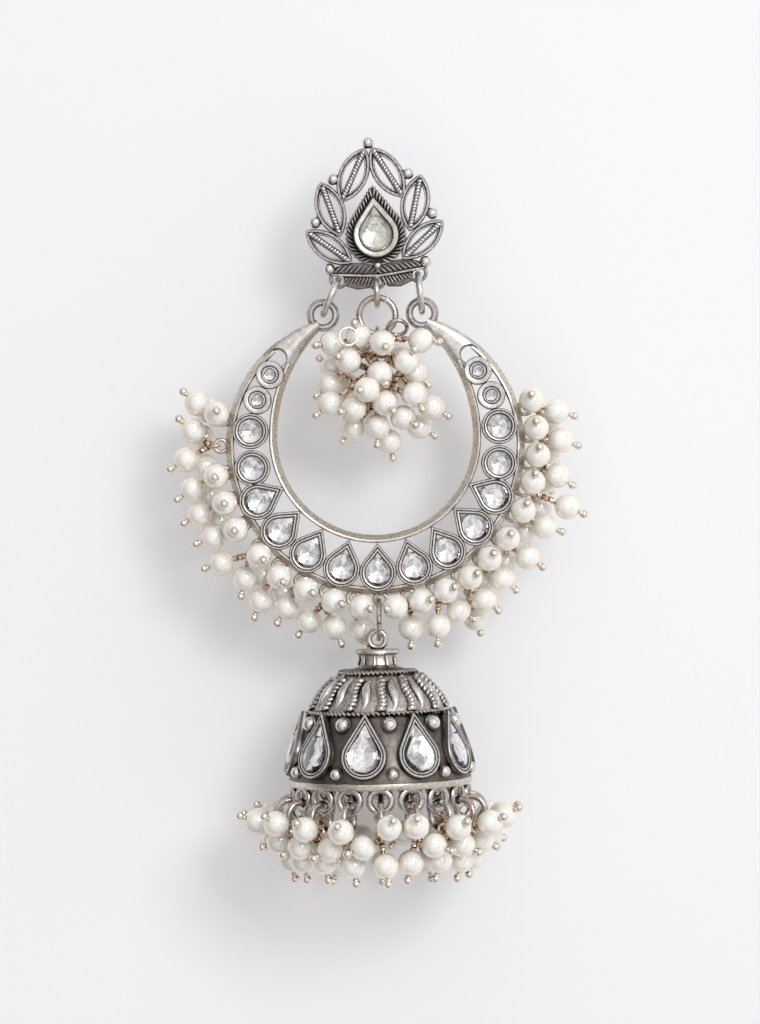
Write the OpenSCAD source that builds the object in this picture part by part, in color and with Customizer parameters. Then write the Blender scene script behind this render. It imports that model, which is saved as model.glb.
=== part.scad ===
// Chandbali earring, lying on its back: a leaf-crowned stud, a pierced crescent set with stones and edged with
// pearls, a pearl cluster inside the crescent, and a hollow bell drop with a pearl fringe. Millimetres.
// X is across the earring, Y runs from the bell up to the stud, Z is up from the surface that it lies on.
// The origin is the tip of the ear post, which stands on that surface.

/* [Ear post] */
// Diameter of the ear post
post_d = 0.9; // [0.7:0.05:1.1]
// Length of the ear post behind the stud
post_length = 11; // [10:0.5:12]

/* [Stud] */
// Thickness of the stud's leaf loops
leaf_thick = 1.0; // [0.8:0.1:1.3]
// Width of the wire that edges each leaf loop
leaf_wire = 0.55; // [0.45:0.05:0.65]
// Width of the rib along the middle of each leaf loop
leaf_rib = 0.5; // [0.4:0.05:0.6]
// Diameter of the granules between the leaves
granule_d = 1.45; // [1.2:0.05:1.6]
// Half width of the stud's pear stone
stud_stone_r = 2.15; // [1.9:0.05:2.3]
// Width of the stud's bezel wall
stud_bezel_wall = 0.58; // [0.45:0.01:0.65]
// Height of the stud's bezel above the leaf loops
stud_bezel_rise = 1.3; // [1:0.1:1.6]

/* [Rings] */
// Wire of the jump rings
ring_wire = 0.8; // [0.7:0.05:0.85]
// Mean diameter of the two jump rings
jump_ring_d = 4.6; // [4.4:0.05:4.65]
// Mean diameter of the ring that carries the cluster
centre_ring_d = 4.35; // [4.2:0.05:4.6]

/* [Crescent] */
// Radius of the round opening of the crescent
opening_r = 11.76; // [11.5:0.02:12]
// Radius of the crescent's outer edge
outer_r = 17.94; // [17.7:0.02:18.1]
// Distance from the opening's centre down to the outer edge's centre
crescent_drop = 1.02; // [0.9:0.02:1.1]
// Width of the inner rim
inner_rim = 0.95; // [0.8:0.05:1.1]
// Width of the outer rim
outer_rim = 1.0; // [0.85:0.05:1.15]
// Thickness of the rims
rim_thick = 1.7; // [1.5:0.1:2]
// Height of the bezels above the middle plane of the crescent
bezel_rise = 1.25; // [1.1:0.05:1.4]
// Half width of the pear stones
pear_stone_r = 1.7; // [1.5:0.02:1.74]
// Radius of the two large round stones of each side
large_stone_r = 1.62; // [1.4:0.02:1.7]
// Radius of the two small round stones of each side
small_stone_r = 1.16; // [1:0.02:1.25]
// Width of the bezel walls
bezel_wall = 0.46; // [0.4:0.02:0.52]

/* [Pearls and pins] */
// Diameter of a pearl
pearl_d = 3.1; // [2.8:0.05:3.1]
// Diameter of the hole through a pearl
pearl_hole_d = 0.6; // [0.56:0.02:0.7]
// Wire of the headed pins
pin_wire = 0.36; // [0.3:0.02:0.4]
// Diameter of the round head of a pin
pin_head_d = 1.05; // [0.9:0.05:1.1]
// Mean radius of the eyelets around the crescent
rim_eyelet_r = 0.75; // [0.72:0.01:0.8]
// Wire of the eyelets around the crescent
rim_eyelet_wire = 0.5; // [0.4:0.02:0.52]

/* [Bell] */
// Outer radius of the bell at its rim
bell_r = 10.9; // [10.6:0.05:11]
// Outer radius at the ring between the upper and the lower dome
shoulder_r = 8.17; // [8:0.05:8.4]
// Outer radius at the top ring
crown_r = 4.4; // [4.2:0.05:4.6]
// Radius of the neck
neck_r = 2.15; // [2:0.05:2.4]
// Thickness of the bell's wall
bell_wall = 0.8; // [0.7:0.05:1]
// Height of the plain band at the rim
bell_band = 0.85; // [0.7:0.05:1]
// Wire of the twisted rings
twist_wire = 0.7; // [0.6:0.05:0.8]
// Half width of the bell's pear stones
bell_stone_r = 2.1; // [1.9:0.05:2.2]
// Mean radius of the eyelets under the rim
bell_eyelet_r = 1.3; // [1.28:0.01:1.36]
// Mean diameter of the fringe rings
fringe_ring_d = 3.4; // [3.35:0.01:3.5]

/* [Hidden] */

silver = "silver";
dark_silver = [0.45, 0.43, 0.42];
glass_white = [0.9, 0.92, 0.95];
stud_glass = [0.9, 0.9, 0.8];
cream = [0.96, 0.94, 0.88];
wire_gold = [0.8, 0.68, 0.55];

round_fn = 48;
wire_fn = 6;
outline_n = 18;
stone_gap = 0.06;
gap = 0.12;
half = 0.5;

pearl_r = pearl_d / 2;
head_r = pin_head_d / 2;
loop_wire = 0.4;
loop_r = rim_eyelet_wire / 2 + gap + loop_wire / 2;

// Direction and plane helpers
function polar(r, a) = [r * cos(a), r * sin(a)];
function unit(v) = v / norm(v);
function turned(p, a) = [p.x * cos(a) - p.y * sin(a), p.x * sin(a) + p.y * cos(a)];
function key(name, i) = str(name, i < 10 ? "0" : "", i);

// Outline of a pear: a circle of radius r whose sides run straight to a tip above its centre
function pear(r, tip, n = outline_n) =
    let (open = acos(r / tip))
    concat([[0, tip]], [for (i = [0 : n]) polar(r, 90 + open + i * (360 - 2 * open) / n)]);
function ring_outline(r, n = outline_n) = [for (i = [0 : n - 1]) polar(r, i * 360 / n)];
// Distance from the pear's centre to its tip, after its wall has moved out by w
function grown_tip(r, tip, w) = tip * (r + w) / r;

// A cut stone on the plane z = 0: straight girdle, two rows of crown facets and a flat table
module cut_stone(outline, girdle, crown) {
    n = len(outline);
    rows = [[1, 0], [1, girdle], [0.78, girdle + crown * 0.62], [0.48, girdle + crown]];
    points = [for (row = rows) for (p = outline) [p.x * row[0], p.y * row[0], row[1]]];
    sides = [for (k = [0 : len(rows) - 2]) for (i = [0 : n - 1])
        [k * n + i, (k + 1) * n + i, (k + 1) * n + (i + 1) % n, k * n + (i + 1) % n]];
    faces = concat([[for (i = [0 : n - 1]) i]], sides,
        [[for (i = [n - 1 : -1 : 0]) (len(rows) - 1) * n + i]]);
    polyhedron(points = points, faces = faces, convexity = 4);
}

// Round wire bent to a ring about Z
module wire_ring(mean_r, wire) {
    rotate_extrude($fn = round_fn) translate([mean_r, 0]) circle(d = wire, $fn = round_fn / 2);
}

module along(from, to) {
    u = unit(to - from);
    translate(from) rotate([0, acos(u.z), atan2(u.y, u.x)]) children();
}

// A pin that starts at `from`, runs through the pearl seated at `seat` and ends in its round head
function head_reach(from, seat) = norm(seat - from) + pearl_r + gap + head_r;
module pin(from, seat) {
    along(from, seat) {
        cylinder(d = pin_wire, h = head_reach(from, seat), $fn = wire_fn);
        translate([0, 0, head_reach(from, seat)]) sphere(d = pin_head_d, $fn = round_fn / 2);
    }
}
module pearl(from, seat) {
    along(seat, seat + unit(seat - from)) difference() {
        sphere(d = pearl_d, $fn = round_fn);
        translate([0, 0, -pearl_d]) cylinder(d = pearl_hole_d, h = 2 * pearl_d, $fn = round_fn / 2);
    }
}

// Stud. Its own upright frame is turned by stud_turn about the post
stud_turn = 4.5;
stud_z = post_length;
stud_eye_hole = 1.5;
stud_eye_band = 0.55;
hang_z = stud_z + leaf_thick / 2;
pear_centre = [0.1, -0.9];
stud_stone_tip = 3.6;
stud_bezel_r = stud_stone_r + stone_gap + stud_bezel_wall;
stud_floor = stud_z + leaf_thick;
shield_r = 3.6;
shield_up = 6.1;
small_granule_d = 0.85;
small_granule_at = [0, -4.45];
// Leaf loops of one side: outer tip x, y, inner tip x, y, width
leaves = [
    [0.35, 9.7, 3.75, 3.4, 3.5],
    [6.05, 6.0, 4.15, -0.7, 3.5],
    [8.3, 0.3, 3.0, -4.0, 3.2]
];
stud_granules = [[0, 10.3], [4.5, 6.25], [-4.5, 6.25], [7.05, 1.25], [-7.05, 1.25], [5.8, -4.5], [-5.8, -4.5]];
// Upper half of a base leaf, then its lower half, from the middle of the stud outward
base_upper = [[0, -5.7], [0.2, -4.5], [1.6, -4.0], [3.4, -3.95], [5.0, -4.3], [5.6, -5.1], [3.2, -5.45]];
base_lower = [[0, -5.7], [3.2, -5.45], [4.3, -5.4], [3.9, -6.7], [2.6, -7.2], [1.2, -7.1], [0.3, -6.4]];
// Where the side rings and the centre link pass through the stud, before its turn
side_eye = [4.75, -5.75];
centre_eye = [-0.3, -6.25];

module vesica(length, width) {
    r = (length * length + width * width) / (4 * width);
    intersection() {
        translate([r - width / 2, 0]) circle(r = r, $fn = 96);
        translate([width / 2 - r, 0]) circle(r = r, $fn = 96);
    }
}
module leaf_loop(row) {
    length = norm([row[0] - row[2], row[1] - row[3]]);
    turn = atan2(row[1] - row[3], row[0] - row[2]) - 90;
    translate([(row[0] + row[2]) / 2, (row[1] + row[3]) / 2]) rotate(turn) {
        difference() {
            vesica(length, row[4]);
            vesica(length - 3.2 * leaf_wire, row[4] - 2 * leaf_wire);
        }
        translate([-leaf_rib / 2, leaf_wire - length / 2])
            square([leaf_rib, length - 2 * leaf_wire]);
    }
}
// Round below and drawn in to a point above
module shield() {
    arc_r = (shield_r * shield_r + shield_up * shield_up) / (2 * shield_r);
    circle(r = shield_r, $fn = 96);
    intersection() {
        translate([arc_r - shield_r, 0]) circle(r = arc_r, $fn = 120);
        translate([shield_r - arc_r, 0]) circle(r = arc_r, $fn = 120);
        translate([-shield_r, 0]) square([2 * shield_r, shield_up + gap]);
    }
}
module stud_plate() {
    for (side = [0, 1]) mirror([side, 0]) {
        for (row = leaves) leaf_loop(row);
        polygon(base_upper);
        polygon(base_lower);
        translate(side_eye) circle(d = stud_eye_hole + 2 * stud_eye_band, $fn = round_fn);
    }
    translate(centre_eye) circle(d = stud_eye_hole + 2 * stud_eye_band, $fn = round_fn);
    translate(pear_centre) shield();
}
module in_stud() {
    rotate([0, 0, stud_turn]) children();
}
module stud_frame() {
    color(silver) in_stud() difference() {
        union() {
            translate([0, 0, stud_z]) linear_extrude(leaf_thick) stud_plate();
            for (p = stud_granules) translate([p.x, p.y, hang_z]) sphere(d = granule_d, $fn = round_fn);
            translate([small_granule_at.x, small_granule_at.y, stud_floor])
                sphere(d = small_granule_d, $fn = round_fn / 2);
            translate([pear_centre.x, pear_centre.y, stud_floor - leaf_thick / 2])
                linear_extrude(leaf_thick / 2 + stud_bezel_rise)
                polygon(pear(stud_bezel_r,
                    grown_tip(stud_stone_r, stud_stone_tip, stud_bezel_wall + stone_gap)));
            cylinder(d = post_d, h = post_length + leaf_thick / 2, $fn = round_fn);
        }
        translate([pear_centre.x, pear_centre.y, stud_floor])
            linear_extrude(stud_bezel_rise + gap)
            polygon(pear(stud_stone_r + stone_gap, grown_tip(stud_stone_r, stud_stone_tip, stone_gap)));
        for (p = [side_eye, [-side_eye.x, side_eye.y], centre_eye])
            translate([p.x, p.y, stud_z - gap])
            cylinder(d = stud_eye_hole, h = leaf_thick + 2 * gap, $fn = round_fn);
    }
}
module stud_stone() {
    color(stud_glass) in_stud() translate([pear_centre.x, pear_centre.y, stud_floor + stone_gap])
        cut_stone(pear(stud_stone_r, stud_stone_tip), stud_bezel_rise - 0.25, 0.75);
}

// Crescent. Its own frame has the centre of the outer edge at the origin and is turned by crescent_turn
crescent_turn = 1.2;
crescent_at = [0.1, -26.1];
crescent_z = hang_z + 0.2;
horn_r = 18.16;
horn_shift = horn_r - opening_r;
shoulder_arc_r = 15.9;
shoulder_shift = outer_r - shoulder_arc_r;
eye_at = [5.95, 15.75];
eye_hole_r = 1.1;
eye_band = 0.86;
eye_thick = 1.5;
horn_from = 10.2;
plate = 60;
// Height of the part of a tip that its eye replaces
tip_cut = 2.4;
web_thick = 1.0;
// Height of the stone ring's centre above the centre of the outer edge
stone_ring_up = 0.54;
// Distance of the pear stones' centres in from the outer edge
pear_inset = 2.09;
pear_tip = 2.72;
pear_step = 16;
// Round stones of one side: angle, distance in from the outer edge, radius
round_stones = [
    [33.2, 3.04, small_stone_r],
    [20.2, 2.99, small_stone_r],
    [5.6, 2.94, large_stone_r],
    [-11.4, 2.84, large_stone_r]
];
// Every stone as angle, distance, half width, tip, from the right horn round the bottom to the left horn
stones = concat(
    [for (s = round_stones) [s[0], outer_r - s[1], s[2], 0]],
    [for (k = [4 : -1 : -4]) [270 + k * pear_step, outer_r - pear_inset, pear_stone_r, pear_tip]],
    [for (i = [3 : -1 : 0]) let (s = round_stones[i]) [180 - s[0], outer_r - s[1], s[2], 0]]
);
function stone_outline(s, grow) = s[3] == 0
    ? ring_outline(s[2] + grow)
    : pear(s[2] + grow, grown_tip(s[2], s[3], grow));

module in_crescent() {
    translate([crescent_at.x, crescent_at.y, crescent_z]) rotate([0, 0, crescent_turn]) children();
}
module at_stone(s) {
    p = polar(s[1], s[0]);
    translate([p.x, p.y + stone_ring_up]) rotate([0, 0, s[0] + 90]) children();
}
// Area inside the opening, moved out by w
module opening_area(w) {
    translate([0, crescent_drop]) {
        difference() {
            circle(r = opening_r + w, $fn = 120);
            translate([-plate / 2, 0]) square([plate, plate / 2]);
        }
        intersection() {
            translate([horn_shift, 0]) circle(r = horn_r + w, $fn = 160);
            translate([-horn_shift, 0]) circle(r = horn_r + w, $fn = 160);
            translate([-plate / 2, -gap]) square([plate, plate / 2]);
        }
    }
}
// Area inside the outer edge, moved in by w
module outer_area(w) {
    difference() {
        circle(r = outer_r - w, $fn = 160);
        translate([-plate / 2, 0]) square([plate, plate / 2]);
    }
    for (side = [0, 1]) mirror([side, 0]) intersection() {
        translate([shoulder_shift, 0]) circle(r = shoulder_arc_r - w, $fn = 160);
        translate([-gap, -gap]) square([plate / 2, plate / 2]);
    }
}
// The tips end at the eyes
module past_eyes() {
    translate([-eye_at.x, eye_at.y - tip_cut]) square([2 * eye_at.x, plate / 2]);
    for (side = [0, 1]) mirror([side, 0]) translate(eye_at) circle(r = eye_hole_r + 0.2, $fn = round_fn);
}
module crescent_area(inner, outer) {
    difference() {
        outer_area(outer);
        opening_area(inner);
        past_eyes();
    }
}
module rims() {
    difference() {
        crescent_area(0, 0);
        difference() {
            crescent_area(inner_rim, outer_rim);
            translate([-plate / 2, horn_from]) square([plate, plate / 2]);
        }
    }
}
// Eyelets for the pearl pins: the first angle, the step and the one that carries the bell
eyelet_from = 168.8;
eyelet_step = 10.2;
eyelet_count = 21;
bell_eyelet = 10;
eyelet_ring_r = outer_r + rim_eyelet_r - 0.15;
loop_ring_r = eyelet_ring_r + rim_eyelet_r;
function eyelet_angle(k) = eyelet_from + k * eyelet_step;

module crescent_frame() {
    color(silver) in_crescent() difference() {
        union() {
            translate([0, 0, -rim_thick / 2]) linear_extrude(rim_thick) rims();
            for (s = stones) at_stone(s) translate([0, 0, -web_thick / 2])
                linear_extrude(web_thick / 2 + bezel_rise) polygon(stone_outline(s, stone_gap + bezel_wall));
            for (side = [0, 1]) mirror([side, 0, 0]) translate([eye_at.x, eye_at.y, -eye_thick / 2])
                cylinder(r = eye_hole_r + eye_band, h = eye_thick, $fn = round_fn);
            for (k = [0 : eyelet_count - 1]) translate(concat(polar(eyelet_ring_r, eyelet_angle(k)), 0))
                wire_ring(rim_eyelet_r, rim_eyelet_wire);
        }
        for (s = stones) at_stone(s) linear_extrude(bezel_rise + gap) polygon(stone_outline(s, stone_gap));
        for (side = [0, 1]) mirror([side, 0, 0]) translate([eye_at.x, eye_at.y, -eye_thick])
            cylinder(r = eye_hole_r, h = 2 * eye_thick, $fn = round_fn);
    }
}
module crescent_stone(i) {
    s = stones[i - 1];
    color(glass_white) in_crescent() at_stone(s) translate([0, 0, stone_gap])
        cut_stone(stone_outline(s, 0), bezel_rise - 0.3, 0.55);
}

// Pearls of the crescent, a row for each eyelet and in it a triple for each pin: turn in degrees from the
// eyelet, distance out and height, both from the middle of the pin's loop. The bell's eyelet has none.
rim_chart = [
    [[-1, 0, 2.8], [-3.2, 2.7, 0.1], [-2, 1.4, -3.0]],
    [[-4.7, 2.7, 0.5], [4.2, 3.5, 0.1], [-3, 1.5, -2.7]],
    [[0.6, 0.1, 2.8], [3.1, 3.3, 0.5], [-3.4, 1.4, -2.3]],
    [[0.4, 0, 2.8], [0.9, 3.4, -0.2], [-4, 1.7, -2.7]],
    [[0.4, 0.2, 2.8], [-1.2, 3.1, 0.5], [-5, 1.7, -2.7]],
    [[2.5, -0.1, 2.8], [-3.6, 4.0, -0.2], [4.6, 3.1, 0.2]],
    [[2.6, 0.2, 2.8], [2.4, 3.9, -0.3], [-2.2, 1.6, -2.7]],
    [[3, -0.1, 2.8], [-0.2, 2.9, 0.3], [-3.4, 1.7, -2.8]],
    [[3.4, 0, 2.8], [-2.4, 3.3, -0.9], [5.6, 3.1, 0.3]],
    [[3.4, 0.1, 2.8], [3.8, 2.8, -1.2], [5.2, 3.4, -4.4]],
    [],
    [[4.2, 0.1, 2.8], [-5.1, 0.1, 3.6], [-1.2, 3.0, -0.2]],
    [[3.6, 0, 2.8], [-3.2, 3.6, 0.7], [4.4, 2.9, -0.4]],
    [[3.1, 0.1, 2.8], [2.6, 3.4, 0.5], [-2.4, 4.9, -3.1]],
    [[2.4, -0.1, 2.8], [0.8, 2.8, 0], [-3.8, 1.7, -2.7]],
    [[1.9, 0, 2.8], [0.6, 3.4, 0.4], [-4.5, 1.8, -2.7]],
    [[3, 0, 2.8], [1.2, 3.3, -0.2], [-2.9, 1.5, -2.7]],
    [[3.4, 0, 2.8], [-1.2, 4.9, 0.4], [-3.9, 1.9, -2.6]],
    [[2.9, 0.1, 2.8], [-3, 2.9, 0.2], [-5, 1.7, -2.8]],
    [[2.3, 0, 2.8], [-2.3, 3.0, 0], [-5.8, 1.7, -2.8]],
    [[2, 0.1, 2.8], [-3.4, 2.9, 0.3], [-6.5, 1.7, -2.7]]
];
rim_parts = [[0, 9], [11, 20]];
function rim_loop(k) = concat(polar(loop_ring_r, eyelet_angle(k)), 0);
function rim_seat(k, p) = concat(polar(loop_ring_r + p[1], eyelet_angle(k) + p[0]), p[2]);
// A pin leaves its loop where the loop faces the pearl
function rim_start(k, p) =
    let (rise = unit([max(p[1], 0.05), p[2]]) * loop_r)
    rim_loop(k) + concat(polar(rise.x, eyelet_angle(k)), rise.y);
module rim_pins(part) {
    color(wire_gold) in_crescent() for (k = [rim_parts[part][0] : rim_parts[part][1]]) {
        translate(rim_loop(k)) rotate([90, 0, eyelet_angle(k)]) wire_ring(loop_r, loop_wire);
        for (p = rim_chart[k]) pin(rim_start(k, p), rim_seat(k, p));
    }
}
module rim_pearls(part) {
    color(cream) in_crescent() for (k = [rim_parts[part][0] : rim_parts[part][1]])
        for (p = rim_chart[k]) pearl(rim_start(k, p), rim_seat(k, p));
}

// Rings between the stud and the crescent. A ring stands on edge, with its ends in the two holes
function stud_point(p) = concat(turned(p, stud_turn), hang_z);
function crescent_point(p) = concat(turned(p, crescent_turn) + crescent_at, crescent_z);
module standing_ring(centre, toward, mean_r, wire) {
    translate(centre) rotate([90, 0, atan2(toward.y, toward.x)]) wire_ring(mean_r, wire);
}
module jump_ring(side) {
    top = stud_point([side * side_eye.x, side_eye.y]);
    low = crescent_point([side * eye_at.x, eye_at.y]);
    color(silver) standing_ring((top + low) / 2, low - top, jump_ring_d / 2, ring_wire);
}
centre_ring_at = [0.33, -10.5, hang_z];
link_top = stud_point(centre_eye) + [0, 0.1, 0];
link_low = centre_ring_at + [0, centre_ring_d / 2 - ring_wire - gap, 0];
module centre_link() {
    color(silver) standing_ring((link_top + link_low) / 2, link_low - link_top,
        norm(link_low - link_top) / 2, ring_wire);
}
module centre_ring() {
    color(silver) translate(centre_ring_at) wire_ring(centre_ring_d / 2, ring_wire);
}

// Cluster: a short chain of round links, each with two pin loops
chain_r = 1.3;
chain_wire = 0.5;
chain_step = 2 * chain_r - chain_wire - gap;
chain_count = 5;
chain_top = centre_ring_at.y - centre_ring_d / 2 + ring_wire / 2 + gap + chain_wire / 2 - chain_r;
function chain_at(j) = [centre_ring_at.x, chain_top - j * chain_step, hang_z];
chain_loop_r = chain_wire / 2 + gap + loop_wire / 2;
// The loops of a link sit on its two sides, which face up and down on every second link
function chain_side(j, side) = j % 2 == 0 ? [0, 0, side * chain_r] : [side * chain_r, 0, 0];
// Pearls of the cluster: link, side of the link, then the place of the pearl across, along and above the
// first link's centre
cluster_chart = [
    [0, -1, -5.4, -0.7, 1.6], [0, 1, 0.6, -0.8, 4.6], [0, 1, 5.2, -0.4, 1.9], [1, -1, -2.2, 0.1, 2.6],
    [1, -1, 0.3, -4.4, 3.7], [1, -1, -5.7, -5.5, 0.2], [1, -1, -3.1, -1.7, -3.8], [1, -1, 2.6, -2.1, -2.6],
    [1, 1, 4.5, -4.2, -0.2], [1, 1, 4.4, -6.9, 3.0], [1, 1, 1.3, -6.4, -2.3], [2, -1, -3.4, -2.9, 3.5],
    [2, -1, -3.5, -5.6, -4.1], [2, -1, 3.3, -5.0, -5.1], [2, 1, -5.6, -8.0, 2.5], [3, -1, -5.4, -3.4, -2.3],
    [3, -1, 0.9, -7.9, 3.7], [3, -1, -2.7, -7.6, 1.0], [3, 1, 3.5, -3.0, 3.7], [3, 1, -1.2, -6.4, 6.0],
    [3, 1, 6.6, -8.4, 0.5], [4, -1, 3.1, -9.6, 1.6], [4, -1, 5.1, -10.6, -2.0], [4, -1, -0.3, -8.4, -4.9],
    [4, 1, -2.8, -8.6, 4.2], [4, 1, 0.0, -10.7, 2.0], [4, 1, -2.9, -10.8, -0.7], [4, 1, 1.4, -12.4, -0.8]
];
function cluster_seat(p) = chain_at(0) + [p[2], p[3], p[4]];
function cluster_start(p) =
    let (c = chain_at(p[0]) + chain_side(p[0], p[1]), d = cluster_seat(p) - c)
    c + unit([d.x, 0, d.z]) * chain_loop_r;
module cluster_links() {
    color(silver) for (j = [0 : chain_count - 1]) translate(chain_at(j))
        rotate([0, j % 2 == 0 ? 90 : 0, 0]) wire_ring(chain_r, chain_wire);
}
module cluster_pins() {
    color(wire_gold) {
        for (j = [0 : chain_count - 1]) for (side = [-1, 1])
            translate(chain_at(j) + chain_side(j, side)) rotate([90, 0, 0]) wire_ring(chain_loop_r, loop_wire);
        for (p = cluster_chart) pin(cluster_start(p), cluster_seat(p));
    }
}
module cluster_pearls() {
    color(cream) for (p = cluster_chart) pearl(cluster_start(p), cluster_seat(p));
}

// Bell. Its own frame has the axis up through the neck, with z = 0 at the top of the neck and y up from
// the surface
bell_turn = 1.2;
bell_at = [0.36, -50.5, hang_z + 1.35];
neck_flange = [2.7, 0.6];
neck_low = 2.1;
crown_low = 2.8;
shoulder_low = 7.4;
rim_low = 15.3;
bell_low = rim_low + bell_band;
dome_steps = 5;
upper_bulge = 0.45;
lower_bulge = 0.5;
bell_pears = 10;
bell_pear_from = 80;
bell_pear_tip = 4.15;
bell_pear_low = 12.28;
bell_pear_rise = 0.5;
bell_pear_sink = 0.75;
bell_pear_lean = 16;
relief_count = 13;
relief_from = 93.5;
leaf_share = 0.42;
relief_low = 5.1;
relief_sink = 0.5;
relief_rise = 0.35;
relief_length = 4.3;
relief_slant = -12;
bell_granules = [[1.85, 8.6, 0.25], [1.4, 14.2, 0.2]];
bell_loop_hole = 1.3;
bell_loop_wire = 0.7;
bell_loop_up = 1.15;
bell_rings = 18;
bell_eyelet_wire = 0.7;
bell_eyelet_at = [bell_r - bell_wall / 2, -bell_low - 1.2];
// Outer radius of the bell at a depth below the neck, with a bulge between the named rings
function bulged(r0, r1, t, bulge) = r0 + (r1 - r0) * t + bulge * 4 * t * (1 - t);
function upper_r(low) =
    bulged(crown_r, shoulder_r, (low - crown_low) / (shoulder_low - crown_low), upper_bulge);
function lower_r(low) =
    bulged(shoulder_r, bell_r, (low - shoulder_low) / (rim_low - shoulder_low), lower_bulge);
dome = concat(
    [for (i = [0 : dome_steps]) let (low = crown_low + (shoulder_low - crown_low) * i / dome_steps)
        [upper_r(low), low]],
    [for (i = [1 : dome_steps]) let (low = shoulder_low + (rim_low - shoulder_low) * i / dome_steps)
        [lower_r(low), low]]
);
upper_lean = atan2(shoulder_r - crown_r, shoulder_low - crown_low);

module in_bell() {
    translate(bell_at) rotate([0, 0, bell_turn]) rotate([-90, 0, 0]) rotate([0, 0, 180]) children();
}
// A seat on the dome at an angle: x across, y up the slope, z outward
module on_dome(a, r, low, lean) {
    rotate([0, 0, a]) translate([r, 0, -low]) rotate([0, -lean, 0]) rotate([90, 0, 90]) children();
}
module bell_outline() {
    polygon(concat([[0, 0], [neck_flange[0], 0], [neck_flange[0], -neck_flange[1]], [neck_r, -neck_flange[1]],
        [neck_r, -neck_low]], [for (p = dome) [p[0], -p[1]]], [[bell_r, -bell_low], [0, -bell_low]]));
}
module bell_hollow() {
    polygon(concat([[0, -crown_low - bell_wall]], [for (p = dome) [p[0] - bell_wall, -p[1] - bell_wall]],
        [[bell_r - bell_wall, -bell_low - 2 * bell_wall], [0, -bell_low - 2 * bell_wall]]));
}
module bell_pear_seat(i) {
    on_dome(bell_pear_from + i * 360 / bell_pears, lower_r(bell_pear_low), bell_pear_low, bell_pear_lean)
        children();
}
module bell() {
    color(dark_silver) in_bell() difference() {
        union() {
            rotate_extrude($fn = 96) difference() {
                union() {
                    bell_outline();
                    translate([crown_r, -crown_low]) circle(d = twist_wire, $fn = round_fn / 2);
                    translate([shoulder_r, -shoulder_low]) circle(d = twist_wire, $fn = round_fn / 2);
                }
                bell_hollow();
            }
            for (i = [0 : bell_pears - 1]) {
                bell_pear_seat(i) translate([0, 0, -bell_pear_sink])
                    linear_extrude(bell_pear_sink + bell_pear_rise) polygon(pear(bell_stone_r + stone_gap
                        + bezel_wall, grown_tip(bell_stone_r, bell_pear_tip, stone_gap + bezel_wall)));
                for (g = bell_granules) rotate([0, 0, bell_pear_from + (i + half) * 360 / bell_pears])
                    translate([lower_r(g[1]) + g[2], 0, -g[1]]) rotate([0, 90, 0])
                    sphere(d = g[0], $fn = round_fn);
            }
            for (i = [0 : relief_count - 1]) for (k = [0, 1])
                on_dome(relief_from + (i + k * leaf_share) * 360 / relief_count, upper_r(relief_low),
                relief_low, upper_lean)
                rotate([0, 0, relief_slant]) translate([0, 0, -relief_sink])
                linear_extrude(relief_sink + relief_rise * (1 + k) / 2)
                if (k == 0) square([0.55, relief_length], center = true); else vesica(relief_length, 1.35);
            translate([0, 0, bell_loop_up]) rotate([90, 0, 0])
                wire_ring((bell_loop_hole + bell_loop_wire) / 2, bell_loop_wire);
            for (i = [0 : bell_rings - 1]) rotate([0, 0, fringe_angle(i)])
                translate([bell_eyelet_at.x, 0, bell_eyelet_at.y]) rotate([0, 90, 0])
                wire_ring(bell_eyelet_r, bell_eyelet_wire);
        }
        for (i = [0 : bell_pears - 1]) bell_pear_seat(i) linear_extrude(bell_pear_rise + gap)
            polygon(pear(bell_stone_r + stone_gap, grown_tip(bell_stone_r, bell_pear_tip, stone_gap)));
    }
}
module bell_stone(i) {
    color(glass_white) in_bell() bell_pear_seat(i - 1) translate([0, 0, stone_gap])
        cut_stone(pear(bell_stone_r, bell_pear_tip), bell_pear_rise - 0.25, 0.5);
}
bell_link_wire = 0.6;
module bell_link() {
    top = crescent_point(polar(eyelet_ring_r, eyelet_angle(bell_eyelet)));
    low = bell_at + concat(turned([0, bell_loop_up], bell_turn), 0);
    color(silver) standing_ring((top + low) / 2, low - top, norm([top.x - low.x, top.y - low.y]) / 2,
        bell_link_wire);
}

// Fringe. Each ring leans out by the flare, but the lowest hangs straight. In a ring's own plane x is the
// distance from the bell's axis and y the height
fringe_flare = 14;
ring_hang = 0.4;
pearl_lie = pearl_r - bell_at.z;
head_lie = head_r + gap / 2 - bell_at.z;
function fringe_angle(i) = 10 + i * 360 / bell_rings;
function lean_out(a) = sin(a) < -0.97 ? [0, -1] : [sin(fringe_flare), -cos(fringe_flare)];
ring_top = [bell_eyelet_at.x, bell_eyelet_at.y - ring_hang];
fringe_loop_r = ring_wire / 2 + gap + loop_wire / 2;
function ring_low(a) = ring_top + lean_out(a) * fringe_ring_d;
function around_bell(a, p) = concat(polar(p.x, a), p.y);
function fringe_start(a) = around_bell(a, ring_low(a) + lean_out(a) * fringe_loop_r);
function side_of(a) = cos(a) < -0.01 ? -1 : 1;
function sway(i) = sin(i * 97);
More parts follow.
